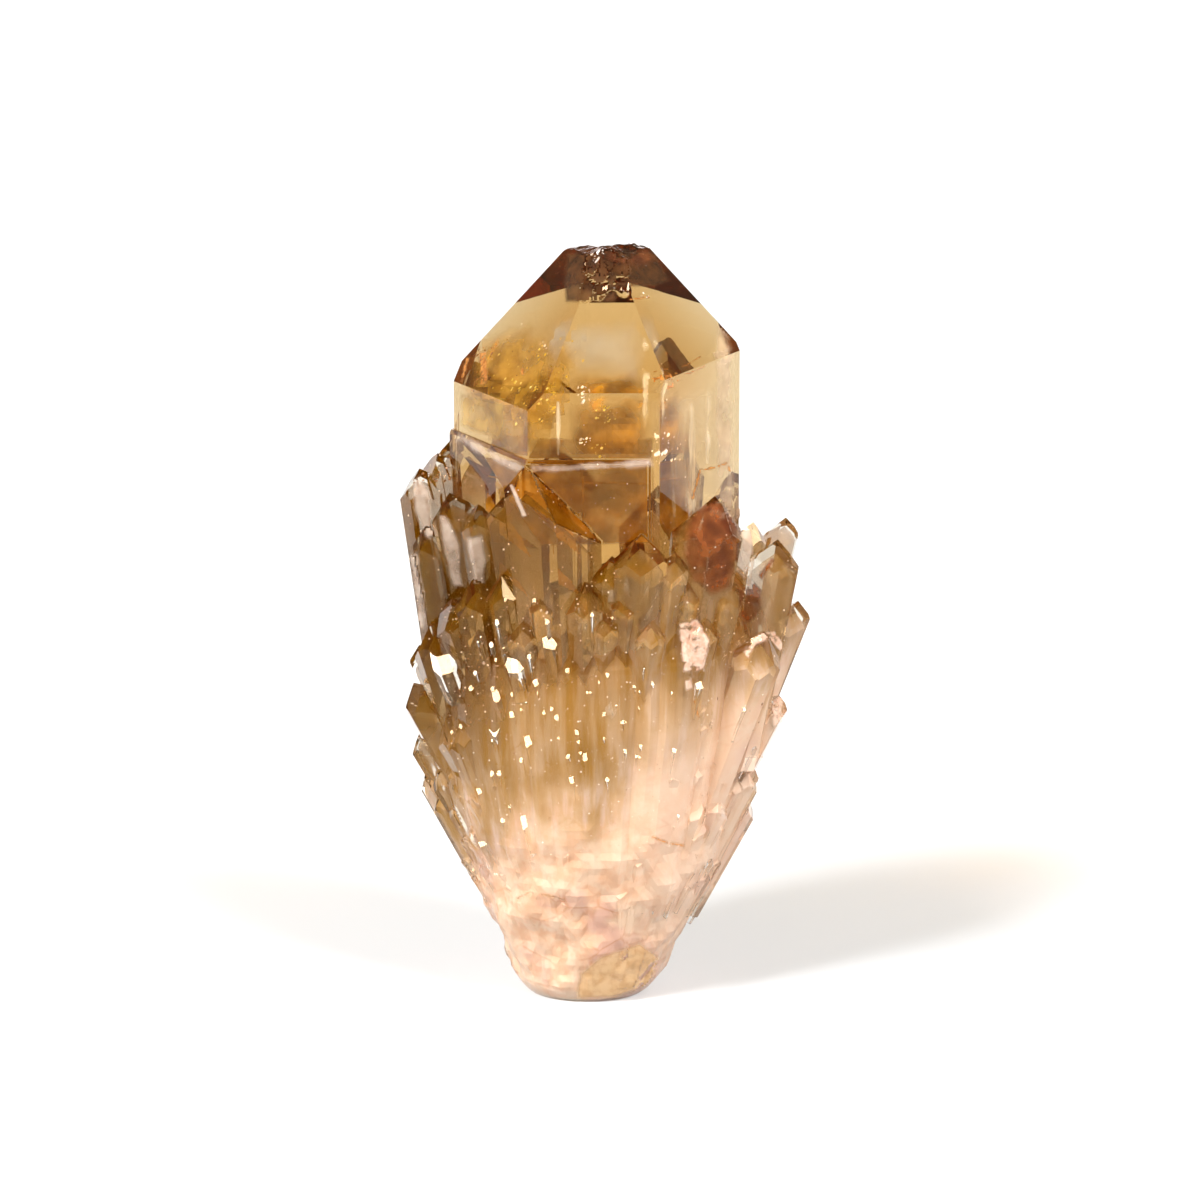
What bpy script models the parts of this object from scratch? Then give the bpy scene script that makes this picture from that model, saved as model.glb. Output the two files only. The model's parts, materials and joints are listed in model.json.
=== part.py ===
"""Citrine specimen: one large six-sided crystal with a broken tip, standing in a jacket of
smaller crystals that all fan out of a narrow milky root. It grew as one piece, so it is one solid.

Metres, +Z up. The origin is the centre of the flat foot, -Y is the side that is shown."""

import math
import random

import bmesh
import bpy
from mathutils import Matrix, Vector

MM = 0.001
NODE = "citrine_cluster"
SEED = 7
SIDES = 6
# Quartz: a termination face dips this much from the base of its crystal.
FACE_DIP = math.radians(51.8)

# The large crystal: its six prism faces, anticlockwise from the front right one, as the distance
# from its axis and the height where the end face above it begins, in mm.
MAIN_AXIS = Vector((0.7, 0.3, 0.0)) * MM
MAIN_FACES = ((9.45, 52.7), (10.2, 53.3), (9.4, 51.8), (9.8, 51.8), (9.85, 50.4), (10.4, 51.8))
MAIN_FIRST_TURN = math.radians(-30)
MAIN_FOOT_Z = 26.0 * MM
MAIN_BLOCK_TOP = 70.0 * MM
# The lower length of the large crystal is a little thicker; its top edge is the ledge.
LEDGE_Z = 46.2 * MM
LEDGE_STEP = 0.28 * MM
LEDGE_SLOPE = 0.7
# Where the apex was knocked off, as a point and the way that the broken face looks, in mm.
BREAKS = (
    ((1.5, 0.0, 61.2), (-0.06, -0.10, 1.0)),
    ((-1.7, 0.0, 60.9), (-0.40, 0.12, 1.0)),
    ((3.4, 0.0, 61.3), (0.40, -0.05, 1.0)),
    ((1.0, -1.6, 60.8), (0.05, -0.75, 1.0)),
    ((0.2, 1.9, 60.7), (-0.10, 0.65, 1.0)),
)

# The outline of the fan, as (height, reach to the left, reach to the right), in mm
OUTLINE = (
    (0.0, 5.4, 5.2),
    (1.4, 6.0, 6.0),
    (4.0, 6.8, 7.1),
    (7.7, 8.6, 9.1),
    (11.4, 10.2, 11.6),
    (15.2, 12.0, 12.9),
    (20.0, 13.3, 14.1),
    (24.0, 14.4, 15.4),
    (28.0, 14.4, 16.2),
    (32.0, 13.9, 17.0),
    (36.0, 14.4, 16.3),
    (39.0, 14.7, 15.0),
    (42.0, 14.2, 13.0),
    (45.0, 12.4, 12.2),
)
DEPTH_SHARE = 0.86

# The body under the crystals: rings that follow the outline, a little inside it.
BODY_HEIGHTS = (0.0, 0.5, 1.4, 3.0, 5.5, 8.5, 12.0, 16.0, 20.0, 25.0, 30.0, 33.0, 35.5)
BODY_INSET = (
    (0.0, 0.5),
    (0.5, 0.2),
    (1.4, 0.0),
    (8.0, 0.1),
    (14.0, 0.7),
    (20.0, 1.2),
    (30.0, 1.5),
    (33.0, 2.6),
    (35.5, 5.2),
)
BODY_STEPS = 40
BODY_RIDGE = 0.36 * MM
BODY_LUMP = 0.30 * MM

# How far a crystal leans out of the upright, in degrees, by the height of its tip in mm
LEAN = ((10.0, 30.0), (20.0, 29.0), (26.0, 26.0), (32.0, 19.0), (38.0, 12.0), (45.0, 7.0))

# No crystal of the fan starts lower than this, so that all of them end inside the root.
START_Z = 3.5 * MM

# Crystals that can be told apart, as tip x, y and z, radius, length, turn in degrees,
# and how far the tip stands from the middle of the crystal in x and y, as a share of its radius
NAMED = (
    (-4.9, -10.7, 46.1, 4.4, 22.0, 4, -0.45, -0.25),
    (4.2, -11.1, 40.8, 2.4, 14.0, 25, 0.0, 0.1),
    (6.8, -10.6, 39.2, 1.7, 12.0, 10, 0.2, 0.0),
    (9.9, -8.6, 43.2, 3.2, 18.0, 8, 0.1, 0.0),
    (13.1, -2.2, 39.5, 1.5, 12.0, 40, 0.0, 0.0),
    (15.9, 4.0, 38.3, 1.5, 12.0, 15, 0.1, 0.0),
    (15.0, -5.0, 38.8, 2.3, 14.0, 0, 0.0, 0.0),
    (16.8, -0.6, 32.6, 2.1, 13.0, 20, 0.3, 0.0),
    (13.9, -7.3, 31.9, 2.3, 12.0, 35, 0.0, 0.0),
    (15.3, -3.0, 25.4, 1.9, 10.0, 45, 0.3, 0.0),
    (13.1, -3.5, 19.9, 1.7, 9.0, 10, 0.3, 0.0),
    (-13.4, 0.2, 43.3, 2.2, 19.0, 30, -0.1, 0.0),
    (-12.0, 1.2, 44.3, 1.9, 14.0, 50, 0.0, 0.0),
    (-11.0, 2.6, 45.0, 1.8, 14.0, 0, 0.0, 0.0),
    (-12.8, -3.0, 39.4, 2.1, 16.0, 5, -0.2, 0.0),
    (-10.9, -5.0, 42.6, 2.0, 15.0, 15, 0.0, 0.0),
    (-8.6, -7.2, 42.2, 1.8, 14.0, 35, 0.0, 0.0),
    (-6.6, -9.2, 43.3, 1.7, 14.0, 0, 0.0, 0.0),
    (-9.0, -8.6, 36.5, 2.2, 13.0, 10, 0.0, 0.0),
    (-10.7, -7.0, 34.5, 2.2, 13.0, 40, 0.0, 0.0),
    (-12.4, -5.0, 32.1, 2.3, 13.0, 20, 0.0, 0.0),
    (-13.7, 5.0, 27.4, 1.8, 11.0, 0, -0.2, 0.0),
    (-13.9, -3.4, 26.6, 2.5, 17.0, 15, -0.25, 0.0),
    (-11.2, -6.2, 24.6, 1.9, 12.0, 30, 0.0, 0.0),
    (-13.0, 3.6, 18.0, 2.1, 10.0, 30, -0.2, 0.0),
    (-2.6, 11.4, 44.0, 3.6, 20.0, 12, 0.0, 0.2),
    (5.6, 11.0, 41.0, 3.0, 17.0, 30, 0.0, 0.1),
    (10.6, 7.4, 40.4, 2.4, 16.0, 5, 0.0, 0.0),
    (-8.2, 9.2, 41.2, 2.5, 16.0, 20, 0.0, 0.0),
    (1.2, 12.6, 33.4, 2.6, 14.0, 0, 0.0, 0.0),
    (-6.4, 12.0, 30.2, 2.2, 12.0, 40, 0.0, 0.0),
    (8.6, 11.0, 29.4, 2.3, 12.0, 15, 0.0, 0.0),
)

# A shell with less volume than this is a pocket inside the solid, in cubic metres.
SMALLEST_SHELL = (1 * MM) ** 3

# Crystals that fill the fan, from the lowest tips to the highest
FILL_COUNT = 176
FILL_HEIGHTS = (11.0 * MM, 42.0 * MM)
FILL_RADIUS = (0.9 * MM, 1.9 * MM)
FILL_LENGTH = 7.5
FILL_INSET = (0.3 * MM, 1.0 * MM)
GOLDEN_TURN = math.pi * (3 - math.sqrt(5))


def clear_scene():
    for thing in list(bpy.data.objects):
        bpy.data.objects.remove(thing)


def between(table, value, column=1):
    """Reads a table whose rows start with a height, with straight lines from row to row."""
    for low, high in zip(table, table[1:]):
        if value <= high[0]:
            share = max(0.0, (value - low[0]) / (high[0] - low[0]))
            return low[column] + (high[column] - low[column]) * share
    return table[-1][column]


def outline_reach(z, turn):
    """How far the fan reaches from the axis at a height, for a turn about the axis."""
    left = between(OUTLINE, z / MM, 1) * MM
    right = between(OUTLINE, z / MM, 2) * MM
    return (left + right) / 2 + (right - left) / 2 * math.cos(turn)


def on_fan(reach, turn, z):
    return Vector((reach * math.cos(turn), DEPTH_SHARE * reach * math.sin(turn), z))


def cut(shape, point, normal):
    """Takes off what lies outside the plane, and closes the cut with one flat face."""
    parts = shape.verts[:] + shape.edges[:] + shape.faces[:]
    made = bmesh.ops.bisect_plane(
        shape, geom=parts, dist=1e-8, plane_co=point, plane_no=normal, clear_outer=True
    )
    edges = [part for part in made["geom_cut"] if isinstance(part, bmesh.types.BMEdge)]
    if len(edges) > 2:
        bmesh.ops.edgeloop_fill(shape, edges=edges)


def sloping(outward):
    """The normal of a termination face above a prism face that looks outward."""
    return outward * math.sin(FACE_DIP) + Vector((0, 0, math.cos(FACE_DIP)))


def block(foot, top):
    """A square block about the axis, to cut a crystal out of."""
    shape = bmesh.new()
    size = 40 * MM
    middle = Matrix.Translation((0, 0, (foot + top) / 2))
    bmesh.ops.create_cube(shape, size=1.0, matrix=middle @ Matrix.Diagonal((size, size, top - foot, 1)))
    return shape


def main_prism(extra):
    """The six sides of the large crystal, and the six faces of its end."""
    shape = block(MAIN_FOOT_Z, MAIN_BLOCK_TOP)
    for side, (distance, shoulder) in enumerate(MAIN_FACES):
        turn = MAIN_FIRST_TURN + math.radians(60) * side
        outward = Vector((math.cos(turn), math.sin(turn), 0.0))
        face = outward * (distance * MM + extra)
        cut(shape, face, outward)
        cut(shape, face + Vector((0, 0, shoulder * MM)), sloping(outward))
        if extra:
            slope = (outward + Vector((0, 0, LEDGE_SLOPE))).normalized()
            cut(shape, face + Vector((0, 0, LEDGE_Z)), slope)
    return shape


def main_crystal():
    shape = main_prism(0.0)
    shape.transform(Matrix.Translation(MAIN_AXIS))
    for point, normal in BREAKS:
        cut(shape, Vector(point) * MM, Vector(normal).normalized())
    return shape


def main_step():
    shape = main_prism(LEDGE_STEP)
    cut(shape, Vector((0, 0, LEDGE_Z + LEDGE_STEP)), Vector((0, 0, 1)))
    shape.transform(Matrix.Translation(MAIN_AXIS))
    return shape


def crystal(tip, radius, length, turn, shift, chance):
    """One crystal of the fan: a hexagonal prism, slimmer towards its start, with six end faces."""
    side = math.atan2(tip.y, tip.x)
    lean = math.radians(between(LEAN, tip.z / MM)) + chance.uniform(-0.05, 0.05)
    axis = Vector((math.cos(side) * math.sin(lean), math.sin(side) * math.sin(lean), math.cos(lean)))
    length = min(length, (tip.z - START_Z) / axis.z)
    shape = bmesh.new()
    bmesh.ops.create_cone(
        shape,
        cap_ends=True,
        segments=SIDES,
        radius1=radius * chance.uniform(0.72, 0.85),
        radius2=radius,
        depth=length,
        matrix=Matrix.Translation((0, 0, -length / 2)),
    )
    flatten = Matrix.Diagonal((1.0, chance.uniform(0.8, 1.0), 1.0, 1.0))
    shape.transform(Matrix.Rotation(turn, 4, "Z") @ flatten)
    apex = Vector((shift[0], shift[1], 0.0)) * radius
    for end in range(SIDES):
        way = turn + math.radians(30 + 60 * end)
        set_back = chance.uniform(0.04, 0.28) * (end % 2) * radius
        normal = sloping(Vector((math.cos(way), math.sin(way), 0.0)))
        cut(shape, apex + normal * set_back, normal)
    stand = Vector((0, 0, 1)).rotation_difference(axis).to_matrix().to_4x4()
    shape.transform(Matrix.Translation(tip) @ stand @ Matrix.Translation(-apex))
    return shape


def named_crystals():
    chance = random.Random(SEED)
    for x, y, z, radius, length, turn, shift_x, shift_y in NAMED:
        tip = Vector((x, y, z)) * MM
        yield crystal(tip, radius * MM, length * MM, math.radians(turn), (shift_x, shift_y), chance)


def fill_crystals():
    """Crystals on a golden-angle spiral up the fan, so that no two tips line up."""
    chance = random.Random(SEED + 1)
    low, high = FILL_HEIGHTS
    for number in range(FILL_COUNT):
        z = low + (high - low) * number / (FILL_COUNT - 1) + chance.uniform(-1, 1) * MM
        turn = GOLDEN_TURN * number + chance.uniform(-0.1, 0.1)
        radius = chance.uniform(*FILL_RADIUS)
        reach = outline_reach(z, turn) - 0.5 * radius - chance.uniform(*FILL_INSET)
        spin = chance.uniform(0, math.pi / 3)
        shift = (chance.uniform(-0.25, 0.25), chance.uniform(-0.25, 0.25))
        length = FILL_LENGTH * radius * chance.uniform(0.8, 1.3)
        yield crystal(on_fan(reach, turn, z), radius, length, spin, shift, chance)


def body():
    """The mass that the crystals grow out of: rings up the outline, ridged along the fan."""
    chance = random.Random(SEED + 2)
    ridges = [chance.uniform(-1, 1) * BODY_RIDGE for _ in range(BODY_STEPS)]
    phases = [chance.uniform(0, math.tau) for _ in range(3)]
    shape = bmesh.new()
    rings = []
    for height in BODY_HEIGHTS:
        z = height * MM
        ring = []
        for step in range(BODY_STEPS):
            turn = math.tau * step / BODY_STEPS
            lump = sum(
                math.sin((n + 2) * turn + phase) * math.sin(0.45 * (n + 1) * height + 2 * phase)
                for n, phase in enumerate(phases)
            )
            inset = between(BODY_INSET, height) * MM
            rough = ridges[step] + BODY_LUMP * lump if height > 1 else 0.0
            ring.append(shape.verts.new(on_fan(outline_reach(z, turn) - inset + rough, turn, z)))
        rings.append(ring)
    for low, high in zip(rings, rings[1:]):
        for step in range(BODY_STEPS):
            after = (step + 1) % BODY_STEPS
            shape.faces.new((low[step], low[after], high[after], high[step]))
    shape.faces.new(list(reversed(rings[0])))
    shape.faces.new(rings[-1])
    return shape


def keep(shape, name, collection):
    mesh = bpy.data.meshes.new(name)
    bmesh.ops.recalc_face_normals(shape, faces=shape.faces[:])
    shape.to_mesh(mesh)
    shape.free()
    made = bpy.data.objects.new(name, mesh)
    collection.objects.link(made)
    return made


def shells(shape):
    """Splits a mesh into its closed shells, each a list of faces."""
    left = set(shape.faces)
    while left:
        start = left.pop()
        shell = [start]
        for face in shell:
            near = {other for edge in face.edges for other in edge.link_faces} & left
            left -= near
            shell.extend(near)
        yield shell


def close_pockets(cluster):
    """Makes the union real, and closes the pockets that crystals shut in between them."""
    state = bpy.context.evaluated_depsgraph_get()
    whole = bpy.data.meshes.new_from_object(cluster.evaluated_get(state))
    cluster.modifiers.clear()
    shape = bmesh.new()
    shape.from_mesh(whole)
    for shell in list(shells(shape)):
        volume = sum(face.calc_center_median().dot(face.normal) * face.calc_area() for face in shell) / 3
        if volume < SMALLEST_SHELL:
            bmesh.ops.delete(shape, geom=shell, context="FACES")
    shape.to_mesh(cluster.data)
    shape.free()


def citrine():
    material = bpy.data.materials.new(NODE)
    material.use_nodes = True
    shader = material.node_tree.nodes["Principled BSDF"]
    shader.inputs["Base Color"].default_value = (0.62, 0.40, 0.20, 1.0)
    shader.inputs["Roughness"].default_value = 0.08
    shader.inputs["IOR"].default_value = 1.544
    shader.inputs["Transmission Weight"].default_value = 0.8
    return material


def main():
    clear_scene()
    whole = bpy.data.collections.new("citrine_specimen")
    joined = bpy.data.collections.new("grown_together")
    bpy.context.scene.collection.children.link(whole)
    bpy.context.scene.collection.children.link(joined)
    cluster = keep(body(), NODE, whole)
    cluster.data.materials.append(citrine())
    keep(main_crystal(), "main_crystal", joined)
    keep(main_step(), "main_step", joined)
    for number, shape in enumerate(named_crystals()):
        keep(shape, f"named_{number:02d}", joined)
    for number, shape in enumerate(fill_crystals()):
        keep(shape, f"fill_{number:03d}", joined)
    for helper in joined.objects:
        helper.hide_render = True
        helper.display_type = "WIRE"
    union = cluster.modifiers.new("grown_together", "BOOLEAN")
    union.operation = "UNION"
    union.solver = "EXACT"
    union.operand_type = "COLLECTION"
    union.collection = joined
    close_pockets(cluster)


main()
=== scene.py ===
# %% [markdown]
# Citrine specimen
#
# One large clear crystal with a broken tip stands in a fan of smaller crystals, and all of them grow
# out of a milky root. This lesson builds its looks round the CAD part: the clear crystals as one
# closed glass shell, the milky quartz inside it, and the stains, veils and dust on and in the glass.
# Some sheets and flakes are painted light: painted shade under the tip, a painted reflection and a
# painted highlight on the left, and painted glints.

# %% The frame
import json
import math
import random

import bmesh
import bpy
from mathutils import Matrix, Vector, noise
from mathutils.bvhtree import BVHTree

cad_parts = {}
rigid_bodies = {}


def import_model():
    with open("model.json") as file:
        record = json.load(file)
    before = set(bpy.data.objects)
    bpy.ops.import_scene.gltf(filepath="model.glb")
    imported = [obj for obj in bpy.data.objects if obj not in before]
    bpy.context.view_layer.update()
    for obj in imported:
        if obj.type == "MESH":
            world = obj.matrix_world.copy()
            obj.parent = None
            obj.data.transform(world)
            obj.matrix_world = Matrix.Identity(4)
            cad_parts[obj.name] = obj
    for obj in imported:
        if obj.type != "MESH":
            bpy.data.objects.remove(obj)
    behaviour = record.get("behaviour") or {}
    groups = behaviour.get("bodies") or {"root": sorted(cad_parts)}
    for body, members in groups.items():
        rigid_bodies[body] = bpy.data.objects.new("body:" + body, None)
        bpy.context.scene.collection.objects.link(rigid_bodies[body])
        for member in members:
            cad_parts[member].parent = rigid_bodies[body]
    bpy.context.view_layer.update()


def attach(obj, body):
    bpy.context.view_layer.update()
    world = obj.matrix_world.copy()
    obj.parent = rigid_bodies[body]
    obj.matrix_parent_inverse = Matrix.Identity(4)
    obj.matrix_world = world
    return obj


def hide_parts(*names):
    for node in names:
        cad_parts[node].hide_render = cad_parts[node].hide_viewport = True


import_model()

MM = 0.001
NODE = "citrine_cluster"
BODY = "root"

# %% [markdown]
# A few helpers serve the whole lesson: they turn a bmesh into an object, and they wire node trees.

# %% Objects and node trees
SCENE_ROOT = bpy.context.scene.collection


def new_object(name, data, collection=SCENE_ROOT):
    thing = bpy.data.objects.new(name, data)
    collection.objects.link(thing)
    return thing


def object_from(shape, name, collection=SCENE_ROOT):
    """Turns a bmesh into an object and frees the bmesh."""
    mesh = bpy.data.meshes.new(name)
    shape.to_mesh(mesh)
    shape.free()
    return new_object(name, mesh, collection)


def new_collection(name):
    collection = bpy.data.collections.new(name)
    SCENE_ROOT.children.link(collection)
    return collection


class Nodes:
    """Adds nodes to a tree in few words: a socket is linked, and anything else is a plain value."""

    def __init__(self, tree):
        self.tree = tree

    def feed(self, socket, value):
        if isinstance(value, bpy.types.NodeSocket):
            self.tree.links.new(value, socket)
        else:
            socket.default_value = value

    def put(self, node, inputs):
        for name, value in dict(inputs).items():
            self.feed(node.inputs[name], value)

    def add(self, kind, inputs=(), **settings):
        node = self.tree.nodes.new(kind)
        for name, value in settings.items():
            setattr(node, name, value)
        self.put(node, inputs)
        return node

    def math(self, operation, *values):
        return self.add("ShaderNodeMath", enumerate(values), operation=operation).outputs[0]

    def minus(self, first, second):
        return self.math("SUBTRACT", first, second)

    def times(self, first, second):
        return self.math("MULTIPLY", first, second)

    def times_plus(self, first, second, third):
        return self.math("MULTIPLY_ADD", first, second, third)

    def vector(self, operation, *values):
        node = self.add("ShaderNodeVectorMath", enumerate(values), operation=operation)
        return node.outputs["Value" if operation == "LENGTH" else "Vector"]

    def xyz(self, x=0.0, y=0.0, z=0.0):
        return self.add("ShaderNodeCombineXYZ", {0: x, 1: y, 2: z}).outputs[0]

    def axes(self, place):
        return self.add("ShaderNodeSeparateXYZ", {0: place}).outputs

    def ramp(self, value, low, high, first=0.0, last=1.0):
        """A smooth step: first at low, last at high."""
        inputs = {"Value": value, "From Min": low, "From Max": high, "To Min": first, "To Max": last}
        return self.add("ShaderNodeMapRange", inputs, interpolation_type="SMOOTHSTEP").outputs[0]

    def chance(self, low, high, seed):
        inputs = {2: low, 3: high, "Seed": seed}
        return self.add("FunctionNodeRandomValue", inputs, data_type="FLOAT").outputs[1]

    def members(self, collection):
        """The objects of a collection, each as an instance of its own."""
        inputs = {"Collection": collection, "Separate Children": True}
        return self.add("GeometryNodeCollectionInfo", inputs).outputs[0]

    def noise(self, place, scale, detail, **more):
        inputs = {"Vector": place, "Scale": scale, "Detail": detail, **more}
        return self.add("ShaderNodeTexNoise", inputs).outputs[0]

    def mix(self, share, first, second):
        """Goes from the first colour to the second."""
        return self.add("ShaderNodeMix", {0: share, 6: first, 7: second}, data_type="RGBA").outputs[2]


def shading(material):
    """The node kit of a material, its shader, and the place on the piece."""
    material.use_nodes = True
    kit = Nodes(material.node_tree)
    shader = material.node_tree.nodes["Principled BSDF"]
    return kit, shader, kit.add("ShaderNodeTexCoord").outputs["Object"]


print("helpers for objects and node trees")

# %% [markdown]
# The studio comes first, because every colour is judged in it. A clear crystal has almost no colour
# of its own: it shows the pale floor behind it, bent and tinted. So the room behind the crystal is
# bright, the room in front is darker, and two soft boxes stand in front at half height. Their
# mirror images are what makes small crystal faces flash white.

# %% Camera at the viewing angle of the photo
PHOTO_SIZE = 1200
PIXEL = 0.08 * MM
CAMERA_RISE = math.radians(15)
CAMERA_AWAY = 480 * MM
CAMERA_TARGET = Vector((0.96, 0.0, 32.5)) * MM
SENSOR = 36.0

camera_data = bpy.data.cameras.new("camera")
camera = bpy.data.objects.new("camera", camera_data)
bpy.context.scene.collection.objects.link(camera)
camera_back = Vector((0, -math.cos(CAMERA_RISE), math.sin(CAMERA_RISE)))
camera_up = Vector((0, math.sin(CAMERA_RISE), math.cos(CAMERA_RISE)))
camera.location = CAMERA_TARGET + camera_back * CAMERA_AWAY
camera.rotation_euler = (math.radians(90) - CAMERA_RISE, 0, 0)
camera_data.sensor_width = SENSOR
camera_data.lens = SENSOR * CAMERA_AWAY / (PHOTO_SIZE * PIXEL)
camera_data.clip_start = 0.01
bpy.context.scene.camera = camera
print("camera lens", round(camera_data.lens), "mm")

# %% Floor
FLOOR_REACH = 4.0
# The floor turns a little warmer towards the camera, where only reflections show it.
FLOOR_COOL = (0.84, 0.885, 0.94, 1)
FLOOR_WARM = (0.72, 0.66, 0.54, 1)
FLOOR_COOL_Y = -60 * MM
FLOOR_WARM_Y = -130 * MM
floor_shape = bmesh.new()
bmesh.ops.create_grid(floor_shape, x_segments=1, y_segments=1, size=FLOOR_REACH)
floor = object_from(floor_shape, "floor")
floor_paint = bpy.data.materials.new("floor_paint")
kit, shader, coords = shading(floor_paint)
warmth = kit.ramp(kit.axes(coords)["Y"], FLOOR_COOL_Y, FLOOR_WARM_Y)
floor_colour = kit.mix(warmth, FLOOR_COOL, FLOOR_WARM)
kit.put(shader, {"Base Color": floor_colour, "Roughness": 0.8, "Specular IOR Level": 0.1})
floor.data.materials.append(floor_paint)
print("a pale floor, a little warmer in front")

# %% Two soft boxes and the room
LIGHT_TARGET = Vector((0, 0, 30)) * MM
LAMP_RISE = math.radians(45)
LAMP_AWAY = 2.2
ROOM_FRONT = (0.34, 0.27, 0.18, 1)
ROOM_BACK = (2.3, 2.3, 2.36, 1)
# The room turns to its back colour as a direction points backwards, but only while it is low.
BACKWARDS = (0.1, 0.8)
LOW_DOWN = (0.42, 0.12)


def softbox(name, azimuth, size, radiance):
    """A square lamp that looks at the crystal. Radiance is how bright its face is, with white 1."""
    lamp_data = bpy.data.lights.new(name, "AREA")
    lamp_data.size = size
    lamp_data.energy = radiance * size * size * math.pi
    lamp = new_object(name, lamp_data)
    turn = math.radians(azimuth)
    low = math.cos(LAMP_RISE)
    way = Vector((math.sin(turn) * low, -math.cos(turn) * low, math.sin(LAMP_RISE)))
    lamp.location = LIGHT_TARGET + way * LAMP_AWAY
    lamp.rotation_euler = way.to_track_quat("Z", "Y").to_euler()
    return way


KEY_WAY = softbox("key_softbox", -48, 0.66, 39.0)
softbox("fill_softbox", 48, 0.78, 20.0)

world = bpy.data.worlds.new("room")
bpy.context.scene.world = world
world.use_nodes = True
kit = Nodes(world.node_tree)
way = kit.axes(kit.add("ShaderNodeTexCoord").outputs["Generated"])
behind = kit.times(kit.ramp(way["Y"], *BACKWARDS), kit.ramp(way["Z"], *LOW_DOWN))
kit.put(kit.tree.nodes["Background"], {"Color": kit.mix(behind, ROOM_FRONT, ROOM_BACK)})
bpy.context.scene.view_settings.view_transform = "Standard"
print("two soft boxes, and a room that is brighter behind")

# %% [markdown]
# The large crystal is a six-sided prism with a six-faced end. Quartz always has the same angles, so
# it is cut out of a block with planes: each prism face has its own distance from the axis, and each
# end face starts at its own height and slopes at 51.8 degrees. Its tip is knocked off further down.

# %% Cutting a crystal with planes
SIDES = 6
FACE_DIP = math.radians(51.8)
MAIN_AXIS = Vector((0.7, 0.3, 0.0)) * MM
# Distance from the axis and height of the shoulder, for each side
MAIN_FACES = ((9.45, 52.7), (10.2, 53.3), (9.4, 52.0), (9.8, 51.8), (9.85, 50.4), (10.4, 51.8))
MAIN_FIRST_TURN = math.radians(-30)
MAIN_FOOT_Z = 24.0 * MM
MAIN_BLOCK_TOP = 70.0 * MM
MAIN_BLOCK_WIDTH = 40 * MM
LEDGE_Z = 46.2 * MM
LEDGE_STEP = 0.30 * MM
LEDGE_SLOPE = 0.42
# The thicker length shows on the faces towards the front left.
LEDGE_SIDES = (3, 4, 5)


def cut(shape, point, normal):
    """Takes off what lies outside the plane, and closes the cut with one flat face."""
    parts = shape.verts[:] + shape.edges[:] + shape.faces[:]
    made = bmesh.ops.bisect_plane(
        shape, geom=parts, dist=1e-8, plane_co=point, plane_no=normal, clear_outer=True
    )
    edges = [part for part in made["geom_cut"] if isinstance(part, bmesh.types.BMEdge)]
    if len(edges) > 2:
        bmesh.ops.edgeloop_fill(shape, edges=edges)


def sloping(outward):
    """The normal of an end face above a prism face that looks outward."""
    return outward * math.sin(FACE_DIP) + Vector((0, 0, math.cos(FACE_DIP)))


def keep(shape, name, collection):
    """Turns a bmesh into an object, with all its faces pointing out."""
    bmesh.ops.recalc_face_normals(shape, faces=shape.faces[:])
    return object_from(shape, name, collection)


def main_prism(extra, sides):
    """The large crystal. With extra, the length below the ledge: thicker on the given sides only."""
    shape = bmesh.new()
    middle = Matrix.Translation((0, 0, (MAIN_FOOT_Z + MAIN_BLOCK_TOP) / 2))
    size = Matrix.Diagonal((MAIN_BLOCK_WIDTH, MAIN_BLOCK_WIDTH, MAIN_BLOCK_TOP - MAIN_FOOT_Z, 1))
    bmesh.ops.create_cube(shape, size=1.0, matrix=middle @ size)
    for side, (distance, shoulder) in enumerate(MAIN_FACES):
        turn = MAIN_FIRST_TURN + math.radians(60) * side
        outward = Vector((math.cos(turn), math.sin(turn), 0.0))
        thicker = extra if side in sides else -2 * extra
        face = outward * (distance * MM + thicker)
        cut(shape, face, outward)
        cut(shape, face + Vector((0, 0, shoulder * MM)), sloping(outward))
        if extra:
            bevel = (outward + Vector((0, 0, LEDGE_SLOPE))).normalized()
            cut(shape, face + Vector((0, 0, LEDGE_Z)), bevel)
    return shape


grown = new_collection("grown_together")
main_shape = main_prism(0.0, ())
main_shape.transform(Matrix.Translation(MAIN_AXIS))
print("large crystal", len(main_shape.faces), "faces")

# %% [markdown]
# A knock leaves shell-like hollows with sharp rims, not flat planes. The break is a fine height field:
# the lowest of five sloping planes, with bowls scooped out of it. The solid under that field and the
# crystal share one volume, and that shared volume is the crystal with its tip knocked off.

# %% The broken tip
# A point and a normal for each plane, in mm
BREAKS = (
    ((1.5, 0.0, 61.5), (-0.06, -0.10, 1.0)),
    ((-1.7, 0.0, 61.2), (-0.40, 0.12, 1.0)),
    ((3.4, 0.0, 61.55), (0.40, -0.05, 1.0)),
    ((1.0, -1.6, 61.1), (0.05, -0.75, 1.0)),
    ((0.2, 1.9, 61.0), (-0.10, 0.65, 1.0)),
)
# The lines of the height field, in mm: close together over the tip, and a few far out
BREAK_LINES = [-14.0, -10.0] + [-7.4 + 0.19 * step for step in range(88)] + [11.0, 14.0]
BOWLS = 46
BOWL_X = (-4.5, 6.0)
BOWL_Y = (-5.0, 5.5)
BOWL_RADIUS = (0.5, 2.0)
BOWL_DEPTH = (0.12, 0.62)
# Size and pitch of the roughness of the break
BREAK_GRAIN = ((0.05, 2.3), (0.025, 6.0))


def break_height(x, y, bowls):
    """The height of the break at a place, all in mm."""
    plane = min(p[2] - (n[0] * (x - p[0]) + n[1] * (y - p[1])) / n[2] for p, n in BREAKS)
    spot = Vector((x, y, 0.0))
    low = plane
    for middle, radius, depth in bowls:
        share = (spot - middle).length / radius
        if share < 1:
            low = min(low, plane - depth * (1 - share * share))
    for size, pitch in BREAK_GRAIN:
        low += size * noise.noise(spot * pitch)
    return low


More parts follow.
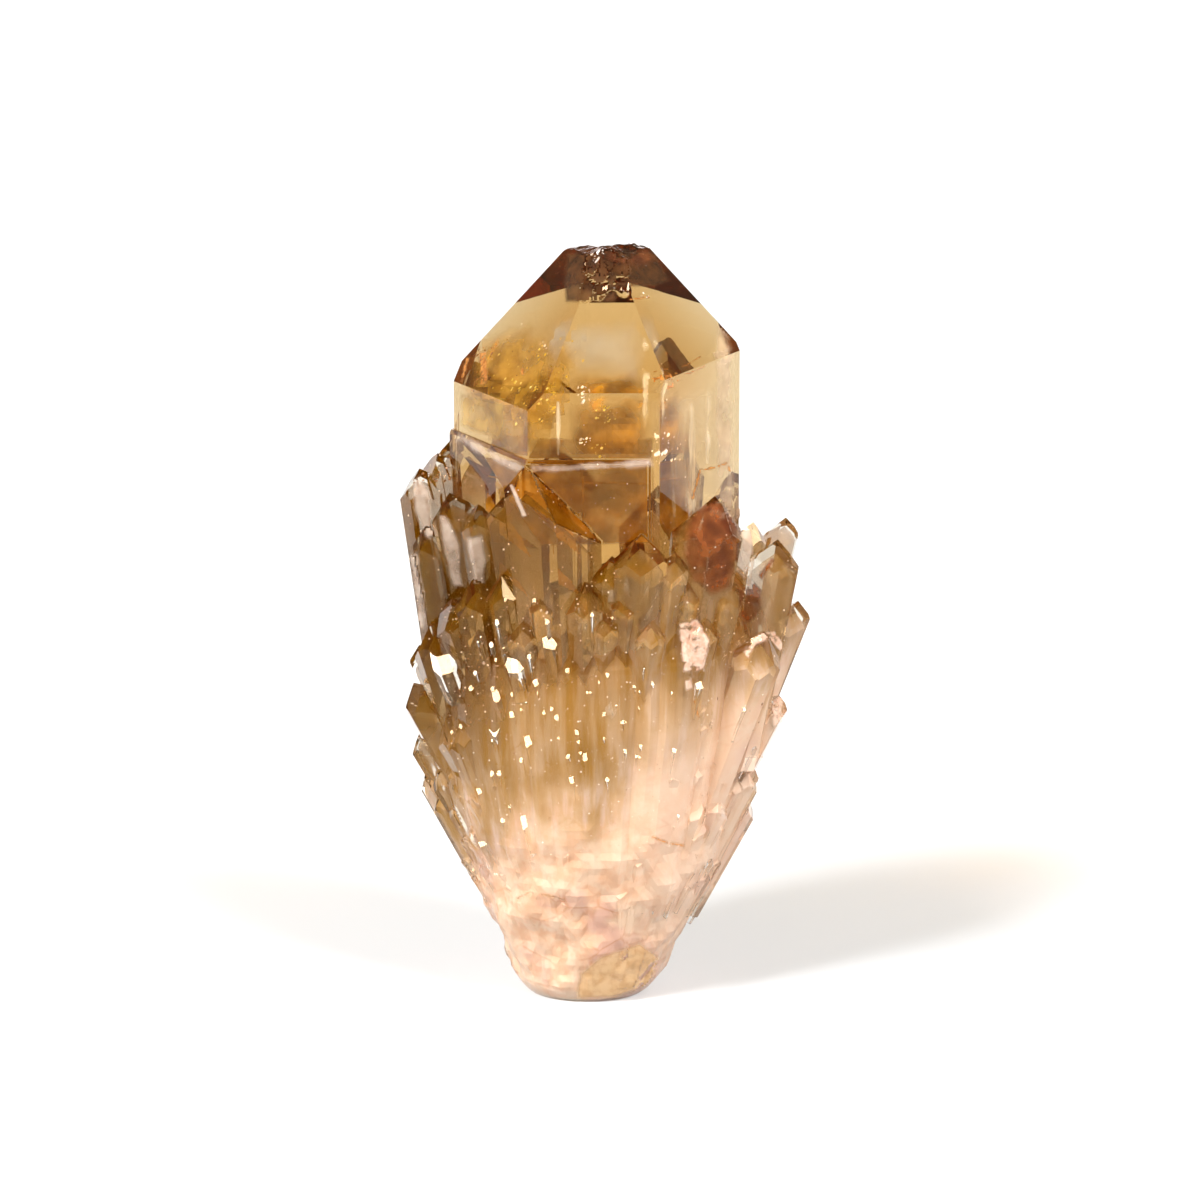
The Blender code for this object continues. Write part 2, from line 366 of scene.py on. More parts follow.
def under_break(chance):
    """The solid below the break, as wide as the crystal and more."""
    bowls = []
    for _ in range(BOWLS):
        middle = Vector((chance.uniform(*BOWL_X), chance.uniform(*BOWL_Y), 0.0))
        bowls.append((middle, chance.uniform(*BOWL_RADIUS), chance.uniform(*BOWL_DEPTH)))
    shape = bmesh.new()
    grid = []
    for y in BREAK_LINES:
        line = [Vector((x, y, break_height(x, y, bowls))) * MM for x in BREAK_LINES]
        grid.append([shape.verts.new(place) for place in line])
    last = len(BREAK_LINES) - 1
    for row in range(last):
        for col in range(last):
            corners = (grid[row][col], grid[row][col + 1], grid[row + 1][col + 1], grid[row + 1][col])
            shape.faces.new(corners[:3])
            shape.faces.new((corners[0], corners[2], corners[3]))
    rim = grid[0][:-1] + [line[-1] for line in grid[:-1]]
    rim += list(reversed(grid[-1]))[:-1] + [line[0] for line in reversed(grid[1:])]
    foot = [shape.verts.new((vert.co.x, vert.co.y, MAIN_FOOT_Z - 2 * MM)) for vert in rim]
    for step in range(len(rim)):
        after = (step + 1) % len(rim)
        shape.faces.new((rim[after], rim[step], foot[step], foot[after]))
    shape.faces.new(foot)
    return keep(shape, "under_break", grown)


main_crystal = keep(main_shape, "main_crystal", grown)
below = under_break(random.Random(12))
knock = main_crystal.modifiers.new("knock", "BOOLEAN")
knock.operation = "INTERSECT"
knock.solver = "MANIFOLD"
knock.object = below
state = bpy.context.evaluated_depsgraph_get()
main_crystal.data = bpy.data.meshes.new_from_object(main_crystal.evaluated_get(state))
main_crystal.modifiers.clear()
bpy.data.objects.remove(below)
tip_z = max(vert.co.z for vert in main_crystal.data.vertices)
print("with its broken tip", len(main_crystal.data.polygons), "faces, top at", round(tip_z / MM, 2))
step_shape = main_prism(LEDGE_STEP, LEDGE_SIDES)
cut(step_shape, Vector((0, 0, LEDGE_Z + LEDGE_STEP)), Vector((0, 0, 1)))
step_shape.transform(Matrix.Translation(MAIN_AXIS))
keep(step_shape, "ledge", grown)

# %% [markdown]
# The fan is the mass under the small crystals. It is a loft: one ring at each height, as wide as the
# outline of the fan there. Fine ridges run up it, because it is a bundle of crystals grown side by
# side, and near the foot they give way to lumps.

# %% The body of the fan
OUTLINE = (
    (0.0, 5.4, 5.2),
    (1.4, 6.0, 6.0),
    (4.0, 6.8, 7.1),
    (7.7, 8.6, 9.1),
    (11.4, 10.2, 11.6),
    (15.2, 12.0, 12.9),
    (20.0, 13.3, 14.1),
    (24.0, 14.4, 15.4),
    (28.0, 14.4, 16.2),
    (32.0, 13.9, 17.0),
    (36.0, 14.4, 16.3),
    (39.0, 14.7, 15.0),
    (42.0, 14.2, 13.0),
    (45.0, 12.4, 12.2),
)
DEPTH_SHARE = 0.86
BODY_INSET = (
    (0.0, 0.6),
    (0.5, 0.25),
    (1.4, 0.05),
    (8.0, 0.2),
    (14.0, 0.75),
    (20.0, 1.25),
    (30.0, 1.6),
    (33.0, 2.6),
    (36.5, 5.2),
)
BODY_STEPS = 132
BODY_RINGS = 54
BODY_TOP = 36.5
# Rings lie closer together near the foot, and the corners of the outline are rounded off.
RING_CROWDING = 1.15
ROUNDING = (-2.4, -1.2, 0.0, 1.2, 2.4)
FAN_START = Vector((1.0, 0.0, -8.0))


def between(table, value, column=1):
    """Reads a table whose rows start with a height, with straight lines from row to row."""
    for low, high in zip(table, table[1:]):
        if value <= high[0]:
            share = max(0.0, (value - low[0]) / (high[0] - low[0]))
            return low[column] + (high[column] - low[column]) * share
    return table[-1][column]


def smooth(value, low, high):
    """A smooth step from 0 at low to 1 at high."""
    share = min(1.0, max(0.0, (value - low) / (high - low)))
    return share * share * (3 - 2 * share)


def reach_at(height, turn):
    """How far the fan reaches from the axis, in mm."""
    near = [height + shift for shift in ROUNDING] if height > 3 else [height]
    left = sum(between(OUTLINE, each, 1) for each in near) / len(near)
    right = sum(between(OUTLINE, each, 2) for each in near) / len(near)
    return (left + right) / 2 + (right - left) / 2 * math.cos(turn)


def fan_relief(turn, height):
    """Ridges along the fan and lumps at its root, in mm."""
    around = Vector((math.cos(turn), math.sin(turn), 0.0))
    ridge = noise.noise(around * 9.0 + Vector((0, 0, 0.035 * height)))
    ridge += 0.6 * noise.noise(around * 21.0 + Vector((3, 0, 0.05 * height)))
    spot = around * 0.1 * reach_at(height, turn) + Vector((0, 0, 0.1 * height))
    lump = noise.fractal(spot * 3.2, 1.0, 2.2, 4)
    root = 1 - smooth(height, 9.0, 20.0)
    return 0.42 * ridge * (1 - 0.55 * root) + 0.62 * lump * root


def fan_body(inset, top, name, collection, steps=BODY_STEPS, rings=BODY_RINGS, foot=0.0):
    """A loft from foot to top, which lies under the outline of the fan by inset(height), in mm."""
    shape = bmesh.new()
    loops = []
    for row in range(rings + 1):
        height = foot + (top - foot) * (row / rings) ** RING_CROWDING
        loop = []
        for step in range(steps):
            turn = math.tau * step / steps
            relief = fan_relief(turn, height) * smooth(height, 0.3, 2.5)
            reach = (reach_at(height, turn) - between(BODY_INSET, height) - inset(height) + relief) * MM
            place = Vector((reach * math.cos(turn), DEPTH_SHARE * reach * math.sin(turn), height * MM))
            loop.append(shape.verts.new(place))
        loops.append(loop)
    for low, high in zip(loops, loops[1:]):
        for step in range(steps):
            after = (step + 1) % steps
            shape.faces.new((low[step], low[after], high[after], high[step]))
    shape.faces.new(list(reversed(loops[0])))
    shape.faces.new(loops[-1])
    return keep(shape, name, collection)


fan = fan_body(lambda height: 0.0, BODY_TOP, "fan_body", grown)
print("fan body", len(fan.data.polygons), "faces")

# %% [markdown]
# The crystals that can be told apart in the photo have their own tips and sizes. One function makes
# a crystal of the fan: a slim hexagonal prism, leaning out of the upright by the height of its tip,
# cut by six end faces of which every other one is set back, as in natural quartz.

# %% Crystals that can be told apart
LEAN = ((10.0, 30.0), (20.0, 29.0), (26.0, 26.0), (32.0, 19.0), (38.0, 12.0), (45.0, 7.0))
START_Z = 3.5 * MM
# Tip x, y and z, radius and length in mm, turn in degrees, and how far the apex is off the middle
NAMED = (
    (-4.9, -10.7, 46.1, 4.4, 30.0, 4, -0.45, -0.25),
    (4.2, -11.1, 40.8, 2.4, 24.0, 4, 0.0, 0.1),
    (6.8, -10.6, 39.2, 1.7, 20.0, 10, 0.2, 0.0),
    (9.9, -8.6, 43.2, 3.2, 26.0, 8, 0.1, 0.0),
    (13.1, -2.2, 39.5, 1.5, 12.0, 12),
    (15.9, 4.0, 38.3, 1.5, 12.0, 15, 0.1, 0.0),
    (15.0, -5.0, 38.8, 2.3, 18.0, 0),
    (16.8, -0.6, 32.6, 2.1, 13.0, 20, 0.3, 0.0),
    (13.9, -7.3, 31.9, 2.3, 16.0, 15),
    (15.3, -3.0, 25.4, 1.9, 12.0, 45, 0.3, 0.0),
    (13.1, -3.5, 19.9, 1.7, 9.0, 10, 0.3, 0.0),
    (-13.4, 0.2, 43.3, 2.2, 19.0, 30, -0.1, 0.0),
    (-12.0, 1.2, 44.3, 1.9, 14.0, 50),
    (-11.0, 2.6, 45.0, 1.8, 14.0, 0),
    (-12.8, -3.0, 39.4, 2.1, 16.0, 5, -0.2, 0.0),
    (-10.9, -5.0, 42.6, 2.0, 15.0, 15),
    (-8.6, -7.2, 42.2, 1.8, 14.0, 35),
    (-6.6, -9.2, 43.3, 1.7, 14.0, 0),
    (-9.0, -8.6, 36.5, 2.2, 18.0, 10),
    (-10.7, -7.0, 34.5, 2.2, 16.0, 40),
    (-12.4, -5.0, 32.1, 2.3, 15.0, 20),
    (-13.7, 5.0, 27.4, 1.8, 11.0, 0, -0.2, 0.0),
    (-13.9, -3.4, 26.6, 2.5, 17.0, 15, -0.25, 0.0),
    (-11.2, -6.2, 24.6, 1.9, 12.0, 30),
    (-13.0, 3.6, 18.0, 2.1, 10.0, 30, -0.2, 0.0),
    (-2.6, 11.4, 44.0, 3.6, 24.0, 12, 0.0, 0.2),
    (5.6, 11.0, 41.0, 3.0, 20.0, 30, 0.0, 0.1),
    (10.6, 7.4, 40.4, 2.4, 16.0, 5),
    (-8.2, 9.2, 41.2, 2.5, 16.0, 20),
    (1.2, 12.6, 33.4, 2.6, 14.0, 0),
    (-6.4, 12.0, 30.2, 2.2, 12.0, 40),
    (8.6, 11.0, 29.4, 2.3, 12.0, 15),
    (1.9, -10.6, 38.9, 1.7, 18.0, 12, 0.1, 0.0),
    (5.7, -10.3, 37.9, 1.6, 16.0, 15),
    (-0.2, -11.3, 37.0, 1.9, 17.0, 56, 0.0, 0.1),
    (3.0, -11.4, 36.2, 1.5, 15.0, 5, -0.1, 0.0),
    (8.0, -9.9, 36.9, 1.7, 16.0, 30),
    (-3.4, -11.3, 36.4, 1.6, 15.0, 15),
    (-6.6, -10.0, 37.3, 1.8, 16.0, 25),
    (11.2, -8.2, 36.4, 1.7, 15.0, 50),
    (1.2, -11.6, 34.6, 1.4, 13.0, 5),
    (5.0, -11.4, 34.0, 1.5, 13.0, 10),
    (-5.2, -10.9, 33.6, 1.5, 12.0, 0),
    (9.4, -9.8, 33.6, 1.4, 12.0, 22),
)


def hexagon_crystal(radius, length, turn, shift, taper, flat, chance):
    """A crystal that points up, with its tip at the origin."""
    shape = bmesh.new()
    bmesh.ops.create_cone(
        shape,
        cap_ends=True,
        segments=SIDES,
        radius1=radius * taper,
        radius2=radius,
        depth=length,
        matrix=Matrix.Translation((0, 0, -length / 2)),
    )
    shape.transform(Matrix.Rotation(turn, 4, "Z") @ Matrix.Diagonal((1.0, flat, 1.0, 1.0)))
    apex = Vector((shift[0], shift[1], 0.0)) * radius
    for end in range(SIDES):
        way = turn + math.radians(30 + 60 * end)
        set_back = chance.uniform(0.04, 0.28) * (end % 2) * radius
        normal = sloping(Vector((math.cos(way), math.sin(way), 0.0)))
        cut(shape, apex + normal * set_back, normal)
    shape.transform(Matrix.Translation(-apex))
    return shape


def leaning(tip, chance):
    """The way a crystal with that tip points."""
    side = math.atan2(tip.y, tip.x)
    lean = math.radians(between(LEAN, tip.z / MM)) + chance.uniform(-0.05, 0.05)
    return Vector((math.cos(side) * math.sin(lean), math.sin(side) * math.sin(lean), math.cos(lean)))


def named_crystals(collection, slim, sink):
    """The crystals of the list, as solids. Slim ones that are sunk lie inside the full ones."""
    chance = random.Random(7)
    for number, (x, y, z, radius, length, turn, *shift) in enumerate(NAMED):
        tip = Vector((x, y, z)) * MM
        axis = leaning(tip, chance)
        long = min(length * MM, (tip.z - START_Z) / axis.z)
        taper = chance.uniform(0.72, 0.85)
        flat = chance.uniform(0.8, 1.0)
        apex = shift or (0.0, 0.0)
        shape = hexagon_crystal(radius * slim * MM, long, math.radians(turn), apex, taper, flat, chance)
        stand = Vector((0, 0, 1)).rotation_difference(axis).to_matrix().to_4x4()
        shape.transform(Matrix.Translation(tip - axis * sink * radius * MM) @ stand)
        keep(shape, f"{collection.name}_{number:02d}", collection)


named_crystals(grown, 1.0, 0.0)
print(len(NAMED), "crystals that can be told apart")

# %% [markdown]
# Some small end faces happen to mirror a soft box straight into the camera and show as white flashes.
# That needs a face whose normal lies half-way between the lamp and the camera. So each flash is a
# small crystal that grows out of the fan, with one end face cut to that normal. Its outline is given
# in pixels of the frame, and a ray from the camera finds the place on the fan.

# %% Rays from the camera
FRAME_RIGHT = Vector((1, 0, 0))


def camera_ray(across, down):
    """Where the ray through a place in the 1200-pixel frame starts, and which way it goes."""
    spot = CAMERA_TARGET + FRAME_RIGHT * (across - PHOTO_SIZE / 2) * PIXEL
    spot -= camera_up * (down - PHOTO_SIZE / 2) * PIXEL
    start = camera_back * CAMERA_AWAY + CAMERA_TARGET
    return start, (spot - start).normalized()


def surface_of(things):
    """A search tree over the faces of several objects."""
    verts = []
    faces = []
    for thing in things:
        first = len(verts)
        verts += [vert.co.copy() for vert in thing.data.vertices]
        faces += [[first + index for index in face.vertices] for face in thing.data.polygons]
    return BVHTree.FromPolygons(verts, faces)


# %% Small crystals that flash
FLASHES = (
    ((430, 653), (436, 657), (449, 654), (455, 660), (453, 672), (440, 676), (433, 670)),
    ((542, 638), (550, 635), (557, 644), (555, 650), (544, 648)),
    ((508, 657), (517, 660), (524, 668), (520, 673), (509, 673), (505, 665)),
    ((449, 767), (462, 763), (464, 774), (452, 779), (446, 773)),
    ((750, 639), (761, 635), (762, 640), (752, 645)),
    ((777, 657), (784, 653), (785, 665), (780, 670)),
    ((532, 681), (536, 679), (539, 684), (535, 687)),
    ((492, 692), (497, 690), (501, 698), (497, 703), (493, 700)),
    ((509, 712), (513, 711), (514, 717), (510, 718)),
    ((488, 729), (494, 733), (500, 728), (495, 738)),
    ((582, 754), (586, 752), (588, 759), (584, 762)),
    ((524, 737), (529, 735), (532, 744), (526, 748)),
    ((476, 789), (480, 788), (482, 793), (478, 795)),
    ((500, 819), (504, 818), (505, 822), (501, 823)),
    ((478, 842), (485, 841), (487, 845), (480, 847)),
    ((520, 817), (525, 815), (528, 826), (523, 830)),
    ((569, 777), (573, 776), (574, 783), (570, 784)),
    ((695, 683), (701, 681), (703, 688), (697, 690)),
)
TINY_FLASHES = 64
# Where tiny flashes lie, in pixels: least, most and likeliest
TINY_ACROSS = (430, 770, 500)
TINY_DOWN = (590, 850, 700)
TINY_SIZE = (0.9, 2.6)
TINY_CORNERS = 5
TINY_TALLER = 1.3
FLASH_LENGTH = 3.0 * MM
FLASH_PROUD = 0.04 * MM
FLASH_TAPER = 0.9
# A face that would reach over more than this has met two crystals, and is left out.
FLASH_MOST_DEEP = 2.2 * MM
HALF_WAY = (KEY_WAY + camera_back).normalized()


def flash_crystal(corners, surface, name):
    """Grows one crystal that flashes; says whether there was room for it."""
    places = [camera_ray(*corner) for corner in corners]
    hits = [surface.ray_cast(*place)[0] for place in places]
    if None in hits:
        return False
    level = max(hit.dot(HALF_WAY) for hit in hits) + FLASH_PROUD
    if level - min(hit.dot(HALF_WAY) for hit in hits) > FLASH_MOST_DEEP:
        return False
    top = [start + way * (level - start.dot(HALF_WAY)) / way.dot(HALF_WAY) for start, way in places]
    middle = sum(top, Vector()) / len(top)
    foot = -(middle - FAN_START * MM).normalized() * FLASH_LENGTH
    shape = bmesh.new()
    above = [shape.verts.new(corner) for corner in top]
    under = [shape.verts.new(middle + (corner - middle) * FLASH_TAPER + foot) for corner in top]
    shape.faces.new(above)
    shape.faces.new(list(reversed(under)))
    for step in range(len(top)):
        after = (step + 1) % len(top)
        shape.faces.new((above[after], above[step], under[step], under[after]))
    keep(shape, name, grown)
    return True


skin_so_far = surface_of(grown.objects)
chance = random.Random(21)
outlines = list(FLASHES)
for _ in range(TINY_FLASHES):
    across = chance.triangular(*TINY_ACROSS)
    down = chance.triangular(*TINY_DOWN)
    size = chance.uniform(*TINY_SIZE)
    tall = size * TINY_TALLER
    first = chance.uniform(0, math.tau)
    steps = [step + chance.uniform(-0.2, 0.2) for step in range(TINY_CORNERS)]
    turns = [first + math.tau * step / TINY_CORNERS for step in steps]
    outlines.append([(across + size * math.cos(turn), down + tall * math.sin(turn)) for turn in turns])
made = 0
for number, outline in enumerate(outlines):
    made += flash_crystal(outline, skin_so_far, f"flash_{number}")
print(made, "small crystals that flash")

# %% [markdown]
# Hundreds of small crystals cover the fan, and they follow a rule, so Geometry Nodes place them. A
# golden-angle spiral climbs the fan, each point is moved onto the body by a ray from the axis, and
# one of a few ready crystals is set there, pointing away from the start of the fan. The tree ends in
# a Boolean union, which takes every crystal as a solid of its own, so that the clear quartz comes
# out as one closed skin without walls inside it.

# %% Ready crystals for the small ones
VARIANTS = 6
VARIANT_LENGTH = 7.0
VARIANT_TAPER = 0.45
ready = new_collection("ready_crystals")
chance = random.Random(3)
for number in range(VARIANTS):
    shift = (chance.uniform(-0.35, 0.35), chance.uniform(-0.35, 0.35))
    flat = chance.uniform(0.75, 1.0)
    shape = hexagon_crystal(1.0, VARIANT_LENGTH, 0.0, shift, VARIANT_TAPER, flat, chance)
    keep(shape, f"ready_{number}", ready)
print(VARIANTS, "ready crystals")


# %% A tree and its result
def new_tree(name, sockets):
    """A Geometry Nodes tree with named inputs; returns its kit, its inputs and its output node."""
    tree = bpy.data.node_groups.new(name, "GeometryNodeTree")
    tree.interface.new_socket("Geometry", in_out="OUTPUT", socket_type="NodeSocketGeometry")
    for label, kind, _ in sockets:
        tree.interface.new_socket(label, in_out="INPUT", socket_type="NodeSocket" + kind)
    kit = Nodes(tree)
    return kit, kit.add("NodeGroupInput").outputs, kit.add("NodeGroupOutput")


def end_tree(kit, geometry, material, out):
    """Realizes the instances, sets their material, and hands them to the output node."""
    real = kit.add("GeometryNodeRealizeInstances", {"Geometry": geometry})
    painted = kit.add("GeometryNodeSetMaterial", {"Geometry": real.outputs[0], "Material": material})
    kit.tree.links.new(painted.outputs[0], out.inputs[0])


def grow(name, tree, sockets):
    """Runs a tree on an empty host and keeps the result as a plain mesh object."""
    host = new_object(name + "_host", bpy.data.meshes.new(name + "_host"))
    modifier = host.modifiers.new(name, "NODES")
    modifier.node_group = tree
    ids = {item.name: item.identifier for item in tree.interface.items_tree if item.in_out == "INPUT"}
    for label, _, value in sockets:
        modifier[ids[label]] = value
    state = bpy.context.evaluated_depsgraph_get()
    mesh = bpy.data.meshes.new_from_object(host.evaluated_get(state))
    mesh.name = name
    bpy.data.objects.remove(host)
    return new_object(name, mesh)


# %% The small crystals and the union
glass = bpy.data.materials.new("citrine_glass")
skin_sockets = (
    ("Body", "Object", fan),
    ("Grown", "Collection", grown),
    ("Ready", "Collection", ready),
    ("Count", "Int", 330),
    ("Lowest", "Float", 9.0 * MM),
    ("Highest", "Float", 40.0 * MM),
    ("Thinnest", "Float", 0.75 * MM),
    ("Thickest", "Float", 1.9 * MM),
    ("Proud", "Float", 1.0),
    ("Slim", "Float", 1.0),
    ("Sink", "Float", 0.0),
    ("Fine count", "Int", 620),
    ("Fine size", "Float", 0.3 * MM),
    ("Glass", "Material", glass),
)
fine, fine_in, fine_out = new_tree("small_crystals", skin_sockets)
GOLDEN_TURN = math.pi * (3 - math.sqrt(5))
HEIGHT_CHANCE = 1.5 * MM
TURN_CHANCE = 0.15
TILT_CHANCE = 0.07
# A power above 1 makes thin crystals more common than thick ones.
THIN_POWER = 1.6
FINE_THICKEST = 2.2
# Near the foot the crystals are thinner and so shorter, or they would stick out below it.
FOOT_THINNING = (8 * MM, 20 * MM, 0.45, 1.0)
# The side that faces front is a smooth bundle: its crystals are sunk more than those behind.
FRONT_TO_BACK = (-0.85, -0.35)
SUNK_IN_FRONT = 0.75
RAISED_BEHIND = 0.87
OUT_CHANCE = 0.35


def crystal_layer(kit, inputs, count, thin, thick, seed):
    """Crystals on a spiral up the fan, proud of it by a share of their radius."""
    points = kit.add("GeometryNodePoints", {"Count": count})
    index = kit.add("GeometryNodeInputIndex").outputs[0]
    share = kit.math("DIVIDE", index, count)
    height = kit.times_plus(share, kit.minus(inputs["Highest"], inputs["Lowest"]), inputs["Lowest"])
    height = kit.math("ADD", height, kit.chance(-HEIGHT_CHANCE, HEIGHT_CHANCE, seed))
    turn = kit.times_plus(index, GOLDEN_TURN, kit.chance(-TURN_CHANCE, TURN_CHANCE, seed + 1))
    way = kit.xyz(kit.math("COSINE", turn), kit.math("SINE", turn))
    target = kit.add("GeometryNodeObjectInfo", {"Object": inputs["Body"]}).outputs["Geometry"]
    ray = {"Target Geometry": target, "Source Position": kit.xyz(z=height), "Ray Direction": way}
    hit = kit.add("GeometryNodeRaycast", ray)
    thinness = kit.math("POWER", kit.chance(0, 1, seed + 2), THIN_POWER)
    radius = kit.times_plus(thinness, kit.minus(thick, thin), thin)
    radius = kit.times(radius, kit.ramp(height, *FOOT_THINNING))
    behind = kit.ramp(kit.math("SINE", turn), *FRONT_TO_BACK)
    out = kit.times_plus(behind, RAISED_BEHIND, kit.chance(-OUT_CHANCE, OUT_CHANCE, seed + 3))
    out = kit.times(kit.times(kit.minus(out, SUNK_IN_FRONT), radius), inputs["Proud"])
    outwards = kit.add("ShaderNodeVectorMath", {0: way, "Scale": out}, operation="SCALE")
    place = kit.vector("ADD", hit.outputs["Hit Position"], outwards.outputs[0])
    moved = kit.add("GeometryNodeSetPosition", {"Geometry": points.outputs[0], "Position": place})
    position = kit.add("GeometryNodeInputPosition").outputs[0]
    away = kit.vector("SUBTRACT", position, FAN_START * MM)
    stand = kit.add("FunctionNodeAlignRotationToVector", {"Vector": away}, axis="Z")
    tilt = kit.xyz(
        kit.chance(-TILT_CHANCE, TILT_CHANCE, seed + 4),
        kit.chance(-TILT_CHANCE, TILT_CHANCE, seed + 5),
        kit.chance(0.0, math.tau, seed + 6),
    )
    spin = kit.add("FunctionNodeEulerToRotation", {0: tilt})
    both = {0: stand.outputs[0], 1: spin.outputs[0]}
    turned = kit.add("FunctionNodeRotateRotation", both, rotation_space="LOCAL")
    shapes = kit.members(inputs["Ready"])
    crystals = kit.add(
        "GeometryNodeInstanceOnPoints",
        {
            "Points": moved.outputs[0],
            "Selection": hit.outputs["Is Hit"],
            "Instance": shapes,
            "Pick Instance": True,
            "Rotation": turned.outputs[0],
            "Scale": kit.times(radius, inputs["Slim"]),
        },
    )
    sunk = kit.xyz(z=kit.times(kit.times(radius, -1.0), inputs["Sink"]))
    lowered = {"Instances": crystals.outputs[0], "Translation": sunk}
    return kit.add("GeometryNodeTranslateInstances", lowered).outputs[0]


layer_one = crystal_layer(fine, fine_in, fine_in["Count"], fine_in["Thinnest"], fine_in["Thickest"], 11)
fine_thick = fine.times(fine_in["Fine size"], FINE_THICKEST)
layer_two = crystal_layer(fine, fine_in, fine_in["Fine count"], fine_in["Fine size"], fine_thick, 31)
others = fine.members(fine_in["Grown"])
union = fine.add("GeometryNodeMeshBoolean", operation="UNION", solver="MANIFOLD")
for solid in (layer_one, layer_two, others):
    fine.tree.links.new(solid, union.inputs["Mesh 2"])
end_tree(fine, union.outputs[0], fine_in["Glass"], fine_out)

shell = grow("crystal_shell", fine.tree, skin_sockets)
print("union", len(shell.data.polygons), "faces")

# %% [markdown]
# Crystals may shut small pockets in between them, which would show as bubbles. The skin is split
# into its closed shells, and only the outermost one is kept.


# %% Close the pockets
def shells_of(shape):
    """The separate shells of a bmesh, each as a list of faces."""
    left = set(shape.faces)
    while left:
        start = left.pop()
        found = [start]
        for face in found:
            near = {other for edge in face.edges for other in edge.link_faces} & left
            left -= near
            found.extend(near)
        yield found


def close_pockets(thing):
    """Keeps the outermost shell of a union."""
    shape = bmesh.new()
    shape.from_mesh(thing.data)
    bmesh.ops.triangulate(shape, faces=shape.faces[:])
    parts = sorted(shells_of(shape), key=len)
    for part in parts[:-1]:
        bmesh.ops.delete(shape, geom=part, context="FACES")
    odd_edges = sum(not edge.is_manifold for edge in shape.edges)
    print(thing.name, len(shape.faces), "faces,", len(parts) - 1, "pockets closed,", odd_edges,
          "edges that don't join just two faces")
    shape.to_mesh(thing.data)
    shape.free()


close_pockets(shell)

# %% [markdown]
# Clear citrine is glass to a renderer: plain transmission, the refractive index of quartz and an
# absorption that takes out blue first. Lamps reach what is inside because the glass lets shadow rays
# through. Near the root the skin is etched, so its roughness goes up there.

# %% The clear quartz
QUARTZ_IOR = 1.544
# What is left of white after 20 mm of citrine
TINT_PATH = 20 * MM
TINT = (0.655, 0.355, 0.10)
# Mirror images on the faces are a little weaker and warmer than white.
MIRROR_TINT = (0.92, 0.70, 0.42, 1)
LAMP_SHARE = (0.93, 0.92, 0.91, 1)
# From what height to what height the etching fades out, and the roughness it starts with
ETCHED = (10 * MM, 28 * MM)
ETCHED_ROUGHNESS = 0.24

kit, shader, coords = shading(glass)
kit.put(shader, {"IOR": QUARTZ_IOR, "Transmission Weight": 1.0, "Specular Tint": MIRROR_TINT})
lost = [-math.log(left) / TINT_PATH for left in TINT]
kept = (*[1 - each / max(lost) for each in lost], 1)
absorb = kit.add("ShaderNodeVolumeAbsorption", {"Color": kept, "Density": max(lost)})
edge = kit.times_plus(kit.noise(coords, 420.0, 5.0), 8 * MM, kit.axes(coords)["Z"])
waves = kit.noise(coords, 260.0, 4.0)
bump = kit.add("ShaderNodeBump", {"Height": waves, "Strength": 0.35, "Distance": 0.03 * MM})
roughness = kit.ramp(edge, *ETCHED, ETCHED_ROUGHNESS, 0.0)
kit.put(shader, {"Roughness": roughness, "Normal": bump.outputs[0]})
lamps = kit.add("ShaderNodeLightPath").outputs["Is Shadow Ray"]
through = kit.add("ShaderNodeBsdfTransparent", {"Color": LAMP_SHARE})
mixed = kit.add("ShaderNodeMixShader", {0: lamps, 1: shader.outputs[0], 2: through.outputs[0]})
kit.put(kit.tree.nodes["Material Output"], {"Surface": mixed.outputs[0], "Volume": absorb.outputs[0]})
shell.data.materials.clear()
shell.data.materials.append(glass)
print("citrine takes out", [round(each) for each in lost], "per metre")

# %% [markdown]
# The root is milky, because countless tiny bubbles scatter light in it. Filling the glass with fog
# would take hours to render, so the milk is a solid of its own just under the skin. It is the same
# union of the same crystals, each a little slimmer and sunk towards the root, so its surface follows
# the skin, and it fades upwards in streaks, by alpha, into the clear part.

# %% The milky quartz as a solid
# Under the skin by this much at the root and by so much more where the quartz clears, in mm
MILK_UNDER = 0.30
MILK_MORE = 0.9
MILK_CLEARS = (20.0, 36.0)
MILK_TOP = 35.8
MILK_FOOT = 0.3
MILK_SLIM = 0.80
MILK_SINK = 0.55
MILK_FINE_COUNT = 300
HEART_UNDER = 2.4
HEART_MORE = 2.6
HEART_TOP = 33.0
HEART_FOOT = 1.5
HEART_STEPS = 72
HEART_RINGS = 30


def milk_inset(least, more):
    """Close under the skin at the root, deeper where the quartz clears."""
    return lambda height: least + more * smooth(height, *MILK_CLEARS)


milk_grown = new_collection("milk_grown")
milk_under = milk_inset(MILK_UNDER, MILK_MORE)
milk_body = fan_body(milk_under, MILK_TOP, "milk_body", milk_grown, foot=MILK_FOOT)
named_crystals(milk_grown, MILK_SLIM, MILK_SINK)
milk = bpy.data.materials.new("milky_quartz")
changed = {
    "Body": milk_body,
    "Grown": milk_grown,
    "Slim": MILK_SLIM,
    "Sink": MILK_SINK,
    "Fine count": MILK_FINE_COUNT,
    "Glass": milk,
}
milk_sockets = [(label, kind, changed.get(label, value)) for label, kind, value in skin_sockets]
milk_one = grow("milky_root", fine.tree, milk_sockets)
close_pockets(milk_one)
heart_under = milk_inset(HEART_UNDER, HEART_MORE)
heart_grid = (HEART_STEPS, HEART_RINGS)
milk_two = fan_body(heart_under, HEART_TOP, "milky_heart", SCENE_ROOT, *heart_grid, HEART_FOOT)
for helper in list(grown.objects) + list(ready.objects) + list(milk_grown.objects):
    bpy.data.objects.remove(helper)

